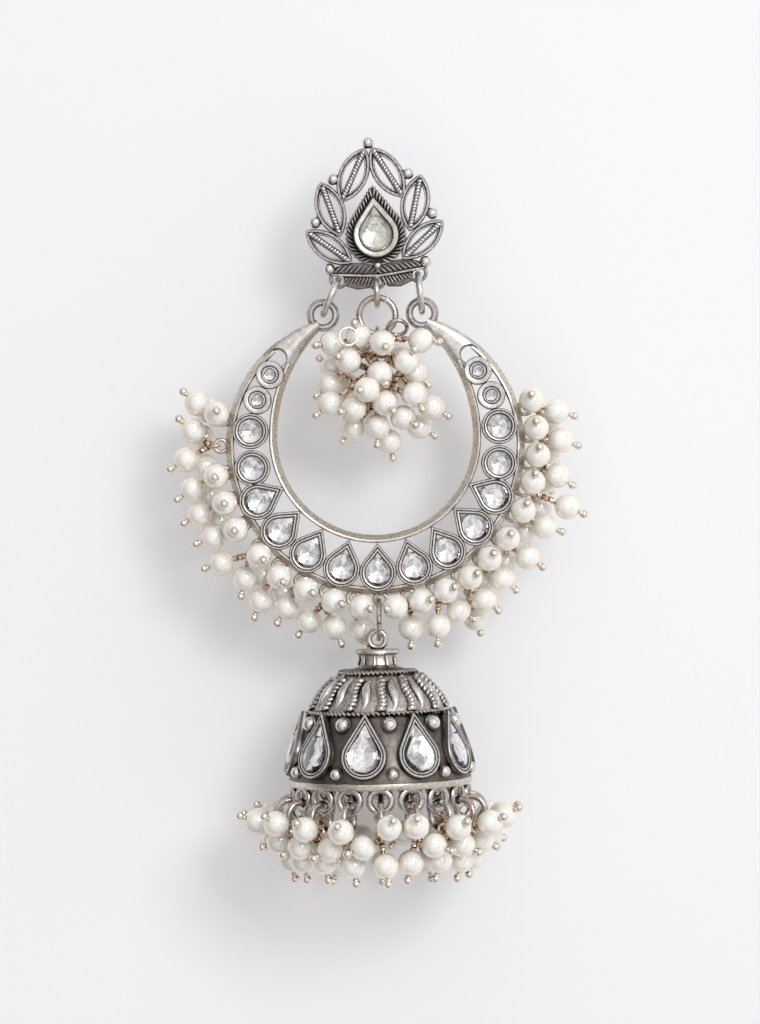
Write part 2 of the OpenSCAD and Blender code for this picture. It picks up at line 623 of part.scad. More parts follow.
// Seats of a ring's pearls as turn from the ring, distance from the axis and depth below the neck
function fringe_chart(i) =
    let (a = fringe_angle(i), s = side_of(a), under = sin(a) < -0.9, low_side = sin(a) < -0.7,
        upright = abs(cos(a)) < 0.01)
    concat(
        under ? [] : [low_side ? [7.8 * s, 16.7, 21.8]
            : [(3 + sway(i)) * s, 14.9 + 0.3 * sway(i + 1), 20.2 + 0.3 * sway(i + 2)]],
        under && upright ? [] : [[(under ? -8.2 : upright ? -9.5 : -8) * s,
            (under ? 12.6 : 12.9) + 0.2 * sway(i), (under ? 23.4 : 22.6) + 0.2 * sway(i + 2)]],
        [upright ? (under ? [0, 11.0, 26.9] : [2, 12.4, 24.7])
            : [(under ? 9.5 : low_side ? 4 : 2) * s, low_side && !under ? 10.8 : 11.0,
                (under ? 26.6 : 24.7) + 0.2 * sway(i + 1)]]
    );
// A pearl or head that would reach below the surface lies on it. Each turn brings the head nearer to it
lift_turns = 4;
function lifted(start, seat, turns = lift_turns) =
    let (k = head_reach(start, seat) / norm(seat - start) - 1,
        next = [seat.x, max(seat.y, pearl_lie, (head_lie + k * start.y) / (1 + k)), seat.z])
    turns == 0 ? next : lifted(start, next, turns - 1);
function fringe_seat(i, p) = lifted(fringe_start(fringe_angle(i)),
    around_bell(fringe_angle(i) + p[0], [p[1], -p[2]]));
module fringe_rings() {
    color(dark_silver) in_bell() for (i = [0 : bell_rings - 1]) {
        a = fringe_angle(i);
        rotate([0, 0, a]) translate([ring_top.x, 0, ring_top.y] + fringe_ring_d / 2
            * [lean_out(a).x, 0, lean_out(a).y]) rotate([90, 0, 0]) wire_ring(fringe_ring_d / 2, ring_wire);
    }
}
module fringe_pins() {
    color(wire_gold) in_bell() for (i = [0 : bell_rings - 1]) {
        a = fringe_angle(i);
        rotate([0, 0, a]) translate([ring_low(a).x, 0, ring_low(a).y])
            rotate([0, 90 - atan2(lean_out(a).x, -lean_out(a).y), 0]) wire_ring(fringe_loop_r, loop_wire);
        for (p = fringe_chart(i)) pin(fringe_start(a), fringe_seat(i, p));
    }
}
module fringe_pearls() {
    color(cream) in_bell() for (i = [0 : bell_rings - 1])
        for (p = fringe_chart(i)) pearl(fringe_start(fringe_angle(i)), fringe_seat(i, p));
}

stud_frame();
stud_stone();
jump_ring(-1);  // jump_ring_left
jump_ring(1);  // jump_ring_right
centre_link();
centre_ring();
cluster_links();
cluster_pins();
cluster_pearls();
crescent_frame();
for (i = [1 : len(stones)]) crescent_stone(i);
rim_pins(0);  // rim_pins_left
rim_pins(1);  // rim_pins_right
rim_pearls(0);  // rim_pearls_left
rim_pearls(1);  // rim_pearls_right
bell();
for (i = [1 : bell_pears]) bell_stone(i);
bell_link();
fringe_rings();
fringe_pins();
fringe_pearls();
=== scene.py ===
"""Chandbali earring lying on a pale surface: fine pieces, finishes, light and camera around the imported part.

Pieces are shaped in millimetres and put into metres when they are settled on the part.
"""

import logging
import math
import random
from dataclasses import dataclass, field
from enum import Enum
from typing import Iterable, Optional, Sequence

import bmesh
import bpy
from mathutils import Matrix, Vector

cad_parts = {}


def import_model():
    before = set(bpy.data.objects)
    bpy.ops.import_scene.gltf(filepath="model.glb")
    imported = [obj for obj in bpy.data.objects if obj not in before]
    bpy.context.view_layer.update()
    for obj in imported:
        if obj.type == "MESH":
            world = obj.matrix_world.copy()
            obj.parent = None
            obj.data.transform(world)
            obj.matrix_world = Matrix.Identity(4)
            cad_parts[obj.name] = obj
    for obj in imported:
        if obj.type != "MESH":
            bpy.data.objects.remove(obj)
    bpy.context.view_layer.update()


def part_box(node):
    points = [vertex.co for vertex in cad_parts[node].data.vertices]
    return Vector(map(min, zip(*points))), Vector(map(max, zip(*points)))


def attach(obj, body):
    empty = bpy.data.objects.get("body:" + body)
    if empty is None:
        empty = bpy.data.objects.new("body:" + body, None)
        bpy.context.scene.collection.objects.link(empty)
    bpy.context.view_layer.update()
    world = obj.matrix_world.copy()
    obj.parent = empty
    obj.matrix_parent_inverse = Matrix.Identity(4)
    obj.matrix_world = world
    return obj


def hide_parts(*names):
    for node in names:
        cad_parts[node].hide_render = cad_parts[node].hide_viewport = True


LOG = logging.getLogger("earring")
MM = 0.001
Colour = tuple[float, float, float]
Points = list[Vector]
UP = Vector((0, 0, 1))
MIRROR = Matrix.Diagonal((-1, 1, 1, 1))
MERGE_DISTANCE = 1e-4
ON_AXIS = 1e-6
LONG_PATH = 200
# The worn top of a ball: height where it starts, how far it spreads and how flat it gets.
WORN_FROM, WORN_SPREAD, WORN_HEIGHT = 0.93, 1.25, 0.985


class Shading(Enum):
    """How the faces of a piece catch light."""

    FACETED = 0.0
    CRISP = 32.0
    SOFT = 60.0


# Node building


class Sketch:
    """A new procedural material and the nodes in it."""

    def __init__(self, name: str) -> None:
        """Starts an empty material.

        Args:
            name: Name of the finish.
        """
        self.material = bpy.data.materials.new(name)
        self.material.use_nodes = True
        self.tree = self.material.node_tree
        self.tree.nodes.clear()
        self.output = self.tree.nodes.new("ShaderNodeOutputMaterial")
        self.place = self.tree.nodes.new("ShaderNodeTexCoord").outputs["Object"]

    def node(self, kind: str, sockets: Optional[dict[str, object]] = None,
             **settings: object) -> bpy.types.Node:
        """Adds a node.

        Args:
            kind: Type of the node.
            sockets: Values of its input sockets.
            **settings: Values of its plain properties.

        Returns:
            The node.
        """
        node = self.tree.nodes.new(kind)
        for name, value in settings.items():
            setattr(node, name, value)
        for name, value in (sockets or {}).items():
            node.inputs[name].default_value = value
        return node

    def link(self, source: bpy.types.NodeSocket, target: bpy.types.NodeSocket) -> None:
        """Joins an output to an input."""
        self.tree.links.new(source, target)

    def noise(self, grain: float, detail: float = 3.0, roughness: float = 0.6) -> bpy.types.NodeSocket:
        """Adds cloudy noise on the piece's own place.

        Args:
            grain: Size of its clouds in millimetres.
            detail: Octaves of the noise.
            roughness: Weight of the fine octaves.

        Returns:
            The factor output.
        """
        node = self.node("ShaderNodeTexNoise", {
            "Scale": 1 / (grain * MM), "Detail": detail, "Roughness": roughness})
        self.link(self.place, node.inputs["Vector"])
        return node.outputs["Fac"]

    def ramp(self, source: bpy.types.NodeSocket,
             stops: Sequence[tuple[float, Colour]]) -> bpy.types.NodeSocket:
        """Turns a factor into colours.

        Args:
            source: The factor.
            stops: Place and colour of each stop.

        Returns:
            The colour output.
        """
        node = self.node("ShaderNodeValToRGB")
        while len(node.color_ramp.elements) < len(stops):
            node.color_ramp.elements.new(0.5)
        for element, (place, colour) in zip(node.color_ramp.elements, stops):
            element.position = place
            element.color = (*colour, 1)
        self.link(source, node.inputs["Fac"])
        return node.outputs["Color"]

    def spread(self, source: bpy.types.NodeSocket, low: float, high: float, start: float = 0.3,
               end: float = 0.7) -> bpy.types.NodeSocket:
        """Maps a factor onto a range of values.

        Args:
            source: The factor.
            low: Value at the start.
            high: Value at the end.
            start: Factor that gives the low value.
            end: Factor that gives the high value.

        Returns:
            The value output.
        """
        node = self.node("ShaderNodeMapRange", {
            "From Min": start, "From Max": end, "To Min": low, "To Max": high})
        self.link(source, node.inputs["Value"])
        return node.outputs["Result"]

    def blended(self, factor: bpy.types.NodeSocket, first: bpy.types.NodeSocket,
                second: bpy.types.NodeSocket) -> bpy.types.NodeSocket:
        """Mixes two colours by a factor.

        Args:
            factor: Nought shows the first colour and one the second.
            first: First colour.
            second: Second colour.

        Returns:
            The mixed colour.
        """
        node = self.node("ShaderNodeMix", data_type="RGBA")
        self.link(factor, node.inputs[0])
        self.link(first, node.inputs[6])
        self.link(second, node.inputs[7])
        return node.outputs[2]

    def nook(self, reach: float, start: float, end: float) -> bpy.types.NodeSocket:
        """Gives one on open surfaces and nought deep in the piece's own nooks.

        Args:
            reach: Depth in millimetres that counts as a nook.
            start: Openness that is fully dark.
            end: Openness that is fully bright.

        Returns:
            The openness.
        """
        node = self.node("ShaderNodeAmbientOcclusion", {"Distance": reach * MM}, only_local=True, samples=8)
        return self.spread(node.outputs["AO"], 0.0, 1.0, start, end)

    def bump(self, height: bpy.types.NodeSocket, strength: float, depth: float) -> bpy.types.NodeSocket:
        """Raises the surface by a height.

        Args:
            height: The height.
            strength: Strength of the effect.
            depth: Depth in millimetres.

        Returns:
            The normal output.
        """
        node = self.node("ShaderNodeBump", {"Strength": strength, "Distance": depth * MM})
        self.link(height, node.inputs["Height"])
        return node.outputs["Normal"]

    def surface(self, links: dict[str, bpy.types.NodeSocket], **constants: object) -> bpy.types.Material:
        """Adds the surface shader and joins it to the output.

        Args:
            links: Output that each linked socket reads.
            **constants: Values of its other sockets, with underscores for spaces.

        Returns:
            The finished material.
        """
        node = self.node("ShaderNodeBsdfPrincipled", {
            name.replace("_", " "): value for name, value in constants.items()})
        for name, source in links.items():
            self.link(source, node.inputs[name])
        self.link(node.outputs["BSDF"], self.output.inputs["Surface"])
        return self.material


# Finishes


@dataclass(frozen=True)
class MetalFinish:
    """Worn metal, bright where hands polish it and dark in its nooks, where oxide and painted shade darken its
    colour.
    """

    name: str
    bright: Colour
    worn: Colour
    # Colour of the nooks: oxide with painted shade.
    dark: Colour
    polish: tuple[float, float] = (0.2, 0.42)
    nook_reach: float = 0.7
    nook_range: tuple[float, float] = (0.35, 0.85)
    patina_grain: float = 0.8
    bump_grain: float = 0.16
    bump_depth: float = 0.03

    def material(self) -> bpy.types.Material:
        """Makes the material.

        Returns:
            The finished material.
        """
        art = Sketch(self.name)
        patina = art.noise(self.patina_grain, detail=4.0, roughness=0.62)
        grain = art.noise(self.bump_grain)
        metal = art.ramp(patina, ((0.28, self.worn), (0.62, self.bright)))
        # Oxide with painted shade: the nook colour shows where ambient occlusion finds the piece's own nooks.
        deep = art.ramp(grain, ((0.3, tuple(c * 0.6 for c in self.dark)), (0.75, self.dark)))
        openness = art.nook(self.nook_reach, *self.nook_range)
        return art.surface({
            "Base Color": art.blended(openness, deep, metal),
            "Roughness": art.spread(grain, low=self.polish[1], high=self.polish[0]),
            "Normal": art.bump(grain, strength=0.5, depth=self.bump_depth)}, Metallic=1.0)


@dataclass(frozen=True)
class PearlFinish:
    """Cream imitation pearl: soft body, clear coat, a faint nacre tint and painted shade, darker and yellower,
    towards its edges as seen from the camera.
    """

    name: str = "cream_pearl"
    cream: Colour = (0.97, 0.955, 0.88)
    cool: Colour = (0.945, 0.96, 0.905)
    warm: Colour = (0.98, 0.945, 0.855)
    # Colour towards the edges as seen from the camera: painted shade with a yellow tint.
    rim: Colour = (0.88, 0.855, 0.69)

    def material(self) -> bpy.types.Material:
        """Makes the material.

        Returns:
            The finished material.
        """
        art = Sketch(self.name)
        cloud = art.noise(grain=3.6, detail=2.0, roughness=0.5)
        fine = art.noise(grain=0.22, roughness=0.55)
        # Blends the body colour into the darker, yellower edge colour as the surface turns from the camera:
        # painted shade.
        edge = art.node("ShaderNodeLayerWeight", {"Blend": 0.42})
        rim = art.ramp(edge.outputs["Facing"], ((0.0, (0.0, 0.0, 0.0)), (1.0, (1.0, 1.0, 1.0))))
        body = art.ramp(cloud, ((0.3, self.cool), (0.5, self.cream), (0.7, self.warm)))
        edge_shade = art.ramp(cloud, ((0.3, self.rim), (0.7, tuple(c * 0.96 for c in self.rim))))
        return art.surface(
            {"Base Color": art.blended(rim, body, edge_shade),
             "Roughness": art.spread(fine, low=0.14, high=0.22),
             "Normal": art.bump(fine, strength=0.25, depth=0.003)},
            Metallic=0.12, Subsurface_Weight=0.1, Subsurface_Radius=(1.0, 0.86, 0.7), Subsurface_Scale=0.0006,
            Coat_Weight=1.0, Coat_Roughness=0.08, Coat_IOR=1.9, IOR=1.7, Thin_Film_Thickness=310.0,
            Thin_Film_IOR=1.45)


@dataclass(frozen=True)
class GlassFinish:
    """Clear cut glass with a faint tint and a few cloudy places."""

    name: str
    tint: Colour

    def material(self) -> bpy.types.Material:
        """Makes the material.

        Returns:
            The finished material.
        """
        art = Sketch(self.name)
        cloud = art.noise(grain=1.6, detail=2.0, roughness=0.5)
        pale = tuple(min(1, c * 1.04) for c in self.tint)
        return art.surface({
            "Base Color": art.ramp(cloud, ((0.3, self.tint), (0.7, pale))),
            "Roughness": art.spread(cloud, low=0.0, high=0.05)}, Transmission_Weight=1.0, IOR=1.52)


@dataclass(frozen=True)
class FoilFinish:
    """Silver foil behind a stone."""

    name: str
    bright: Colour
    dull: Colour
    metal: float = 1.0
    gloss: tuple[float, float] = (0.05, 0.14)

    def material(self) -> bpy.types.Material:
        """Makes the material.

        Returns:
            The finished material.
        """
        art = Sketch(self.name)
        crease = art.noise(grain=0.5)
        return art.surface({
            "Base Color": art.ramp(crease, ((0.35, self.dull), (0.6, self.bright))),
            "Roughness": art.spread(crease, *self.gloss),
            "Normal": art.bump(crease, strength=0.3, depth=0.03)}, Metallic=self.metal)


@dataclass(frozen=True)
class PaperFinish:
    """Matt near-white surface of a faintly lit table."""

    name: str = "pale_board"
    low: Colour = (0.665, 0.68, 0.70)
    high: Colour = (0.675, 0.69, 0.71)
    glow: Colour = (1.0, 0.965, 0.95)

    def material(self) -> bpy.types.Material:
        """Makes the material.

        Returns:
            The finished material.
        """
        art = Sketch(self.name)
        tooth = art.noise(grain=0.5)
        return art.surface(
            {"Base Color": art.ramp(tooth, ((0.3, self.low), (0.7, self.high))),
             "Normal": art.bump(tooth, strength=0.05, depth=0.02)},
            Roughness=0.9, Specular_IOR_Level=0.1, Emission_Color=(*self.glow, 1), Emission_Strength=0.22)


SILVER = MetalFinish("oxidised_silver", (0.66, 0.64, 0.62), (0.40, 0.38, 0.37), (0.05, 0.044, 0.044),
                     polish=(0.14, 0.3), nook_range=(0.45, 0.93))
GRAIN_SILVER = MetalFinish("grain_silver", (0.86, 0.84, 0.81), (0.64, 0.61, 0.585), (0.07, 0.062, 0.06),
                           polish=(0.1, 0.22), nook_range=(0.4, 0.9), bump_depth=0.012)
BEZEL_SILVER = MetalFinish("bezel_silver", (0.74, 0.715, 0.68), (0.45, 0.43, 0.405), (0.04, 0.035, 0.033),
                           polish=(0.2, 0.36), nook_range=(0.6, 0.97), patina_grain=0.45, bump_depth=0.02)
BRIGHT_SILVER = MetalFinish("burnished_silver", (0.80, 0.78, 0.75), (0.54, 0.52, 0.49), (0.07, 0.062, 0.06),
                            polish=(0.18, 0.34), nook_range=(0.45, 0.92), bump_depth=0.015)
# Warm silver; on the crescent's sloping faces it is a warm tint darkened as painted shade.
WARM_SILVER_AND_PAINTED_SHADE = MetalFinish("warm_silver", (0.80, 0.75, 0.67), (0.42, 0.38, 0.325), (0.07, 0.06, 0.05),
                          polish=(0.22, 0.42), patina_grain=0.32, bump_grain=0.17, bump_depth=0.06)
# Dark oxidised silver; on the bezels' shaded faces and in the horns' holes it is painted shade.
DARK_SILVER_AND_PAINTED_SHADE = MetalFinish("dark_silver", (0.19, 0.168, 0.158), (0.10, 0.086, 0.08), (0.022, 0.019, 0.018),
                          polish=(0.3, 0.5), nook_range=(0.45, 0.95))
LEAF_SILVER = MetalFinish("leaf_silver", (0.44, 0.41, 0.405), (0.19, 0.172, 0.178), (0.028, 0.024, 0.026),
                          polish=(0.24, 0.42), nook_range=(0.5, 0.96), patina_grain=0.35, bump_grain=0.12,
                          bump_depth=0.06)
RING_SILVER = MetalFinish("brown_silver", (0.64, 0.57, 0.52), (0.36, 0.305, 0.275), (0.06, 0.046, 0.04),
                          polish=(0.12, 0.28), patina_grain=1.4, bump_depth=0.015)
FIELD_SILVER = MetalFinish("rough_silver", (0.64, 0.58, 0.52), (0.30, 0.265, 0.24), (0.07, 0.058, 0.05),
                           polish=(0.34, 0.5), patina_grain=0.45, bump_grain=0.3, bump_depth=0.11)
PIN_WIRE = MetalFinish("copper_silver_wire", (0.86, 0.70, 0.54), (0.55, 0.37, 0.24), (0.10, 0.05, 0.03),
                       polish=(0.2, 0.36), nook_reach=0.5, patina_grain=0.6, bump_depth=0.01)
HEAD_SILVER = MetalFinish("head_silver", (0.95, 0.88, 0.79), (0.78, 0.68, 0.57), (0.22, 0.15, 0.10),
                          polish=(0.16, 0.34), nook_reach=0.3, patina_grain=0.5, bump_depth=0.02)
PEARL = PearlFinish()
CLEAR_GLASS = GlassFinish("clear_cut_glass", (0.98, 0.985, 1.0))
WARM_GLASS = GlassFinish("warm_cut_glass", (0.955, 0.96, 0.92))
CLEAR_FOIL = FoilFinish("silver_foil", (0.98, 0.98, 0.99), (0.7, 0.7, 0.73))
WARM_FOIL = FoilFinish("warm_foil", (0.84, 0.845, 0.775), (0.62, 0.63, 0.55), metal=0.9, gloss=(0.14, 0.26))


class Dressing:
    """Makes each finish once and puts it on pieces."""

    made: dict[str, bpy.types.Material] = {}

    @classmethod
    def on(cls, piece: bpy.types.Object, *finishes: object) -> bpy.types.Object:
        """Puts finishes on a piece.

        Args:
            piece: The piece.
            *finishes: Its finishes, in the order of its material slots.

        Returns:
            The piece.
        """
        piece.data.materials.clear()
        for finish in finishes:
            if finish.name not in cls.made:
                cls.made[finish.name] = finish.material()
            piece.data.materials.append(cls.made[finish.name])
        return piece


# Bench work


def deselect() -> None:
    """Leaves nothing selected."""
    bpy.ops.object.select_all(action="DESELECT")


def focus(piece: bpy.types.Object) -> bpy.types.Object:
    """Selects one piece alone and makes it active.

    Args:
        piece: The piece.

    Returns:
        The piece.
    """
    deselect()
    piece.select_set(True)
    bpy.context.view_layer.objects.active = piece
    return piece


def apply_place(piece: bpy.types.Object) -> bpy.types.Object:
    """Moves a piece's place, turn and scale into its mesh.

    Args:
        piece: The piece.

    Returns:
        The piece.
    """
    focus(piece)
    bpy.ops.object.transform_apply(location=True, rotation=True, scale=True)
    return piece


def moved(piece: bpy.types.Object, place: Matrix) -> bpy.types.Object:
    """Moves a piece's mesh.

    Args:
        piece: The piece.
        place: The move, in millimetres.

    Returns:
        The piece.
    """
    piece.data.transform(place)
    if place.determinant() < 0:
        piece.data.flip_normals()
    return piece


def copied(master: bpy.types.Object, place: Matrix) -> bpy.types.Object:
    """Copies a piece, with a mesh of its own.

    Args:
        master: The piece to copy.
        place: Where the copy goes.

    Returns:
        The copy.
    """
    twin = master.copy()
    twin.data = master.data.copy()
    bpy.context.scene.collection.objects.link(twin)
    return moved(twin, place)


def joined(parts: Sequence[bpy.types.Object], name: str) -> bpy.types.Object:
    """Joins pieces into one.

    Args:
        parts: The pieces.
        name: Name of the joined piece.

    Returns:
        The joined piece.
    """
    deselect()
    for part in parts:
        part.select_set(True)
    bpy.context.view_layer.objects.active = parts[0]
    if len(parts) > 1:
        bpy.ops.object.join()
    parts[0].name = name
    parts[0].data.name = name
    return parts[0]


def repeated(master: bpy.types.Object, places: Iterable[Matrix], name: str) -> bpy.types.Object:
    """Copies a master to every place and joins the copies.

    Args:
        master: The piece to repeat, which is taken away.
        places: Place of each copy.
        name: Name of the result.

    Returns:
        The joined copies.
    """
    parts = [copied(master, place) for place in places]
    bpy.data.objects.remove(master)
    return joined(parts, name)


def shaded(piece: bpy.types.Object, shading: Shading) -> bpy.types.Object:
    """Shades a piece flat or smooth.

    Args:
        piece: The piece.
        shading: How its faces catch light.

    Returns:
        The piece.
    """
    focus(piece)
    if shading is Shading.FACETED:
        bpy.ops.object.shade_flat()
    else:
        bpy.ops.object.shade_smooth_by_angle(angle=math.radians(shading.value))
    return piece


def dressed(piece: bpy.types.Object, finish: object, shading: Shading = Shading.SOFT) -> bpy.types.Object:
    """Puts one finish on a piece and shades it."""
    return shaded(Dressing.on(piece, finish), shading)


def closed_up(piece: bpy.types.Object, fill: bool = True) -> bpy.types.Object:
    """Merges doubles, closes open ends and turns the faces outwards.

    Args:
        piece: The piece.
        fill: Whether open ends are filled.

    Returns:
        The piece.
    """
    focus(piece)
    bpy.ops.object.mode_set(mode="EDIT")
    bpy.ops.mesh.select_all(action="SELECT")
    bpy.ops.mesh.remove_doubles(threshold=MERGE_DISTANCE)
    if fill:
        bpy.ops.mesh.fill_holes(sides=0)
    bpy.ops.mesh.select_all(action="SELECT")
    bpy.ops.mesh.normals_make_consistent(inside=False)
    bpy.ops.object.mode_set(mode="OBJECT")
    return piece


def outlined(name: str, points: Sequence[Vector]) -> bpy.types.Object:
    """Adds a closed outline and opens it in edit mode.

    Args:
        name: Name of the piece.
        points: Place of each corner, in order.

    Returns:
        The piece, in edit mode.
    """
    deselect()
    bpy.ops.mesh.primitive_circle_add(vertices=len(points), radius=1)
    piece = bpy.context.active_object
    piece.name = name
    for vertex, point in zip(piece.data.vertices, points):
        vertex.co = point
    bpy.ops.object.mode_set(mode="EDIT")
    return piece


def corner_key(point: Vector) -> tuple[float, ...]:
    """Gives a rounded place, by which a corner is found again."""
    return tuple(round(c, 4) for c in point)


def loft(name: str, rings: Sequence[Points], closed: bool = False) -> bpy.types.Object:
    """Draws a skin through a row of outlines by extruding the first one.

    Args:
        name: Name of the piece.
        rings: Outlines that all have as many points.
        closed: Whether the last outline joins the first.

    Returns:
        The piece.
    """
    piece = outlined(name, rings[0])
    before = rings[0]
    for outline in [*rings[1:], *([rings[0]] if closed else [])]:
        bpy.ops.mesh.extrude_region()
        mesh = bmesh.from_edit_mesh(piece.data)
        lookup = {corner_key(point): i for i, point in enumerate(before)}
        for vertex in (v for v in mesh.verts if v.select):
            vertex.co = outline[lookup[corner_key(vertex.co)]]
        before = outline
    bmesh.update_edit_mesh(piece.data)
    bpy.ops.object.mode_set(mode="OBJECT")
    return closed_up(piece, not closed)


def turned_body(name: str, profile: Sequence[tuple[float, float]], steps: int = 48) -> bpy.types.Object:
    """Spins a closed profile about the Z axis.

    Args:
        name: Name of the piece.
        profile: Radius and height of each corner, in order.
        steps: Number of steps of the full turn.

    Returns:
        The turned piece.
    """
    piece = outlined(name, [Vector((radius, 0, height)) for radius, height in profile])
    bpy.ops.mesh.select_mode(type="EDGE")
    mesh = bmesh.from_edit_mesh(piece.data)
    for edge in mesh.edges:
        edge.select = all(abs(v.co.x) < ON_AXIS for v in edge.verts)
    if any(edge.select for edge in mesh.edges):
        bpy.ops.mesh.delete(type="EDGE")
    bpy.ops.mesh.select_mode(type="VERT")
    bpy.ops.mesh.select_all(action="SELECT")
    bpy.ops.mesh.spin(steps=steps, angle=math.tau, center=(0, 0, 0), axis=(0, 0, 1))
    bpy.ops.object.mode_set(mode="OBJECT")
    return closed_up(piece, False)


def wire(name: str, points: Sequence[Vector], radius: float, closed: bool = False, sides: int = 1,
         widths: Optional[Sequence[float]] = None) -> bpy.types.Object:
    """Bends round wire along points.

    Args:
        name: Name of the piece.
        points: Points along its middle.
        radius: Radius of the wire.
        closed: Whether its ends meet.
        sides: Half of the sides beyond four.
        widths: Share of the radius at each point.

    Returns:
        The wire as a mesh.
    """
    deselect()
    bpy.ops.curve.primitive_nurbs_path_add()
    piece = bpy.context.active_object
    piece.name = name
    curve = piece.data
    curve.splines.clear()
    spline = curve.splines.new("POLY")
    spline.points.add(len(points) - 1)
    for i, point in enumerate(points):
        spline.points[i].co = (*point, 1)
        spline.points[i].radius = widths[i] if widths else 1.0
    spline.use_cyclic_u = closed
    curve.dimensions = "3D"
    curve.twist_mode = "Z_UP" if closed else "MINIMUM"
    curve.bevel_depth = radius
    curve.bevel_resolution = sides
    curve.use_fill_caps = not closed
    bpy.ops.object.convert(target="MESH")
    return closed_up(bpy.context.active_object, False)



def open_ring(name: str, radius: float, wire_radius: float, start: float, sweep: float, steps: int,
              sides: int) -> bpy.types.Object:
    """Bends round wire about Z into a ring whose ends nearly meet.

    Args:
        name: Name of the piece.
        radius: Mean radius.
        wire_radius: Radius of the wire.
        start: Angle of its first end.
        sweep: Angle that it runs through.
        steps: Steps along it.
        sides: Half of the sides beyond four.

    Returns:
        The ring.
    """
    line = [polar(radius, start + sweep * i / steps) for i in range(steps + 1)]
    return wire(name, line, wire_radius, sides=sides)


def ball(name: str, radius: float, segments: int = 20) -> bpy.types.Object:
    """Adds a small ball whose top is a little worn.

    Args:
        name: Name of the piece.
        radius: Its radius.
        segments: Segments around it.

    Returns:
        The ball.
    """
    deselect()
    bpy.ops.mesh.primitive_uv_sphere_add(segments=segments, ring_count=segments // 2 + 2, radius=radius)
    piece = bpy.context.active_object
    piece.name = name
    bpy.ops.object.mode_set(mode="EDIT")
    mesh = bmesh.from_edit_mesh(piece.data)
    for vertex in mesh.verts:
        vertex.select = vertex.co.z > radius * WORN_FROM
    bpy.ops.transform.resize(value=(WORN_SPREAD, WORN_SPREAD, WORN_HEIGHT), center_override=(0, 0, 0))
    bpy.ops.object.mode_set(mode="OBJECT")
    return shaded(piece, Shading.SOFT)


def ring(name: str, radius: float, wire_radius: float, sides: int = 12, steps: int = 40,
         squeeze: float = 1.0) -> bpy.types.Object:
    """Adds a wire ring about Z whose section is a little flattened.

    Args:
        name: Name of the piece.
        radius: Mean radius.
        wire_radius: Radius of the wire.
        sides: Sides of the wire.
        steps: Steps around the ring.
        squeeze: Height of the section over its width.

    Returns:
        The ring.
    """
    deselect()
    bpy.ops.mesh.primitive_torus_add(major_radius=radius, minor_radius=wire_radius, major_segments=steps,
                                     minor_segments=sides)
    piece = bpy.context.active_object
    piece.name = name
    bpy.ops.object.mode_set(mode="EDIT")
    bpy.ops.mesh.select_all(action="SELECT")
    bpy.ops.transform.resize(value=(1, 1, squeeze), center_override=(0, 0, 0))
    bpy.ops.object.mode_set(mode="OBJECT")
    return shaded(piece, Shading.SOFT)


def rope(name: str, path: Sequence[Vector], ups: Sequence[Vector], radius: float, turns: float,
         closed: bool = False) -> bpy.types.Object:
    """Twists two wires about a path.

    Args:
        name: Name of the piece.
        path: Points of the middle line.
        ups: A direction across the path at each point.
        radius: Outer radius of the rope.
        turns: Turns over the whole path.
        closed: Whether the path closes.

    Returns:
        The rope.
    """
    count = len(path)
    parts = []
    for phase in (0.0, 0.5):
        line = []
        for i, point in enumerate(path):
            after = path[(i + 1) % count] if closed or i < count - 1 else point
            before = path[i - 1] if closed or i > 0 else point
            along = (after - before).normalized()
            across = ups[i].cross(along).normalized()
            up = along.cross(across)
            share = i / count if closed else i / (count - 1)
            angle = math.tau * (turns * share + phase)
            line.append(point + (across * math.cos(angle) + up * math.sin(angle)) * radius * 0.5)
        parts.append(wire(name, line, radius * 0.56, closed, 0 if count > LONG_PATH else 1))
    return shaded(joined(parts, name), Shading.SOFT)


def settled(piece: bpy.types.Object, slot: str, *nodes: str) -> bpy.types.Object:
    """Puts a finished piece on the part in metres and reports it.

    Args:
        piece: The piece, in millimetres.
        slot: Material slot of the record. Not used.
        *nodes: Nodes of the part that it stands for.

    Returns:
        The piece.
    """
    apply_place(piece)
    piece.data.transform(Matrix.Scale(MM, 4))
    piece.data.update()
    if nodes:
        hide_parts(*nodes)
    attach(piece, "root")
    piece.data.calc_loop_triangles()
    LOG.info("%s: %d triangles", piece.name, len(piece.data.loop_triangles))
    deselect()
    return piece


# Outlines and places


def polar(radius: float, degrees: float, height: float = 0.0) -> Vector:
    """Gives the point at a distance and an angle from the Z axis."""
    angle = math.radians(degrees)
    return Vector((radius * math.cos(angle), radius * math.sin(angle), height))


def turn(degrees: float, axis: str = "Z") -> Matrix:
    """Gives a turn about an axis."""
    return Matrix.Rotation(math.radians(degrees), 4, axis)


def shift(x: float, y: float, z: float = 0.0) -> Matrix:
    """Gives a move."""
    return Matrix.Translation((x, y, z))


def aimed(origin: Vector, toward: Vector) -> Matrix:
    """Gives the place at a point whose Z axis points to another point.

    Args:
        origin: The point.
        toward: The point that it faces.

    Returns:
        The place.
    """
    direction = (toward - origin).normalized()
    return Matrix.Translation(origin) @ direction.to_track_quat("Z", "Y").to_matrix().to_4x4()


def heading(way: Vector) -> float:
    """Gives the angle of a direction in the XY plane."""
    return math.degrees(math.atan2(way.y, way.x))



def pear(radius: float, tip: float, arc: int = 24, side: int = 5) -> Points:
    """Draws a pear: a circle whose sides run straight to a tip above its centre.

    Args:
        radius: Radius of the circle.
        tip: Distance of the tip.
        arc: Steps of the round part.
        side: Steps of each straight side.

    Returns:
        Its points, from the tip round the left side.
    """
    opening = math.degrees(math.acos(radius / tip))
    round_part = [polar(radius, 90 + opening + i * (360 - 2 * opening) / arc) for i in range(arc + 1)]
    top = Vector((0, tip, 0))
    left = [top.lerp(round_part[0], i / side) for i in range(side)]
    right = [round_part[-1].lerp(top, i / side) for i in range(1, side)]
    return left + round_part + right


def circle(radius: float, count: int = 32) -> Points:
    """Draws a circle."""
    return [polar(radius, 360 * i / count) for i in range(count)]


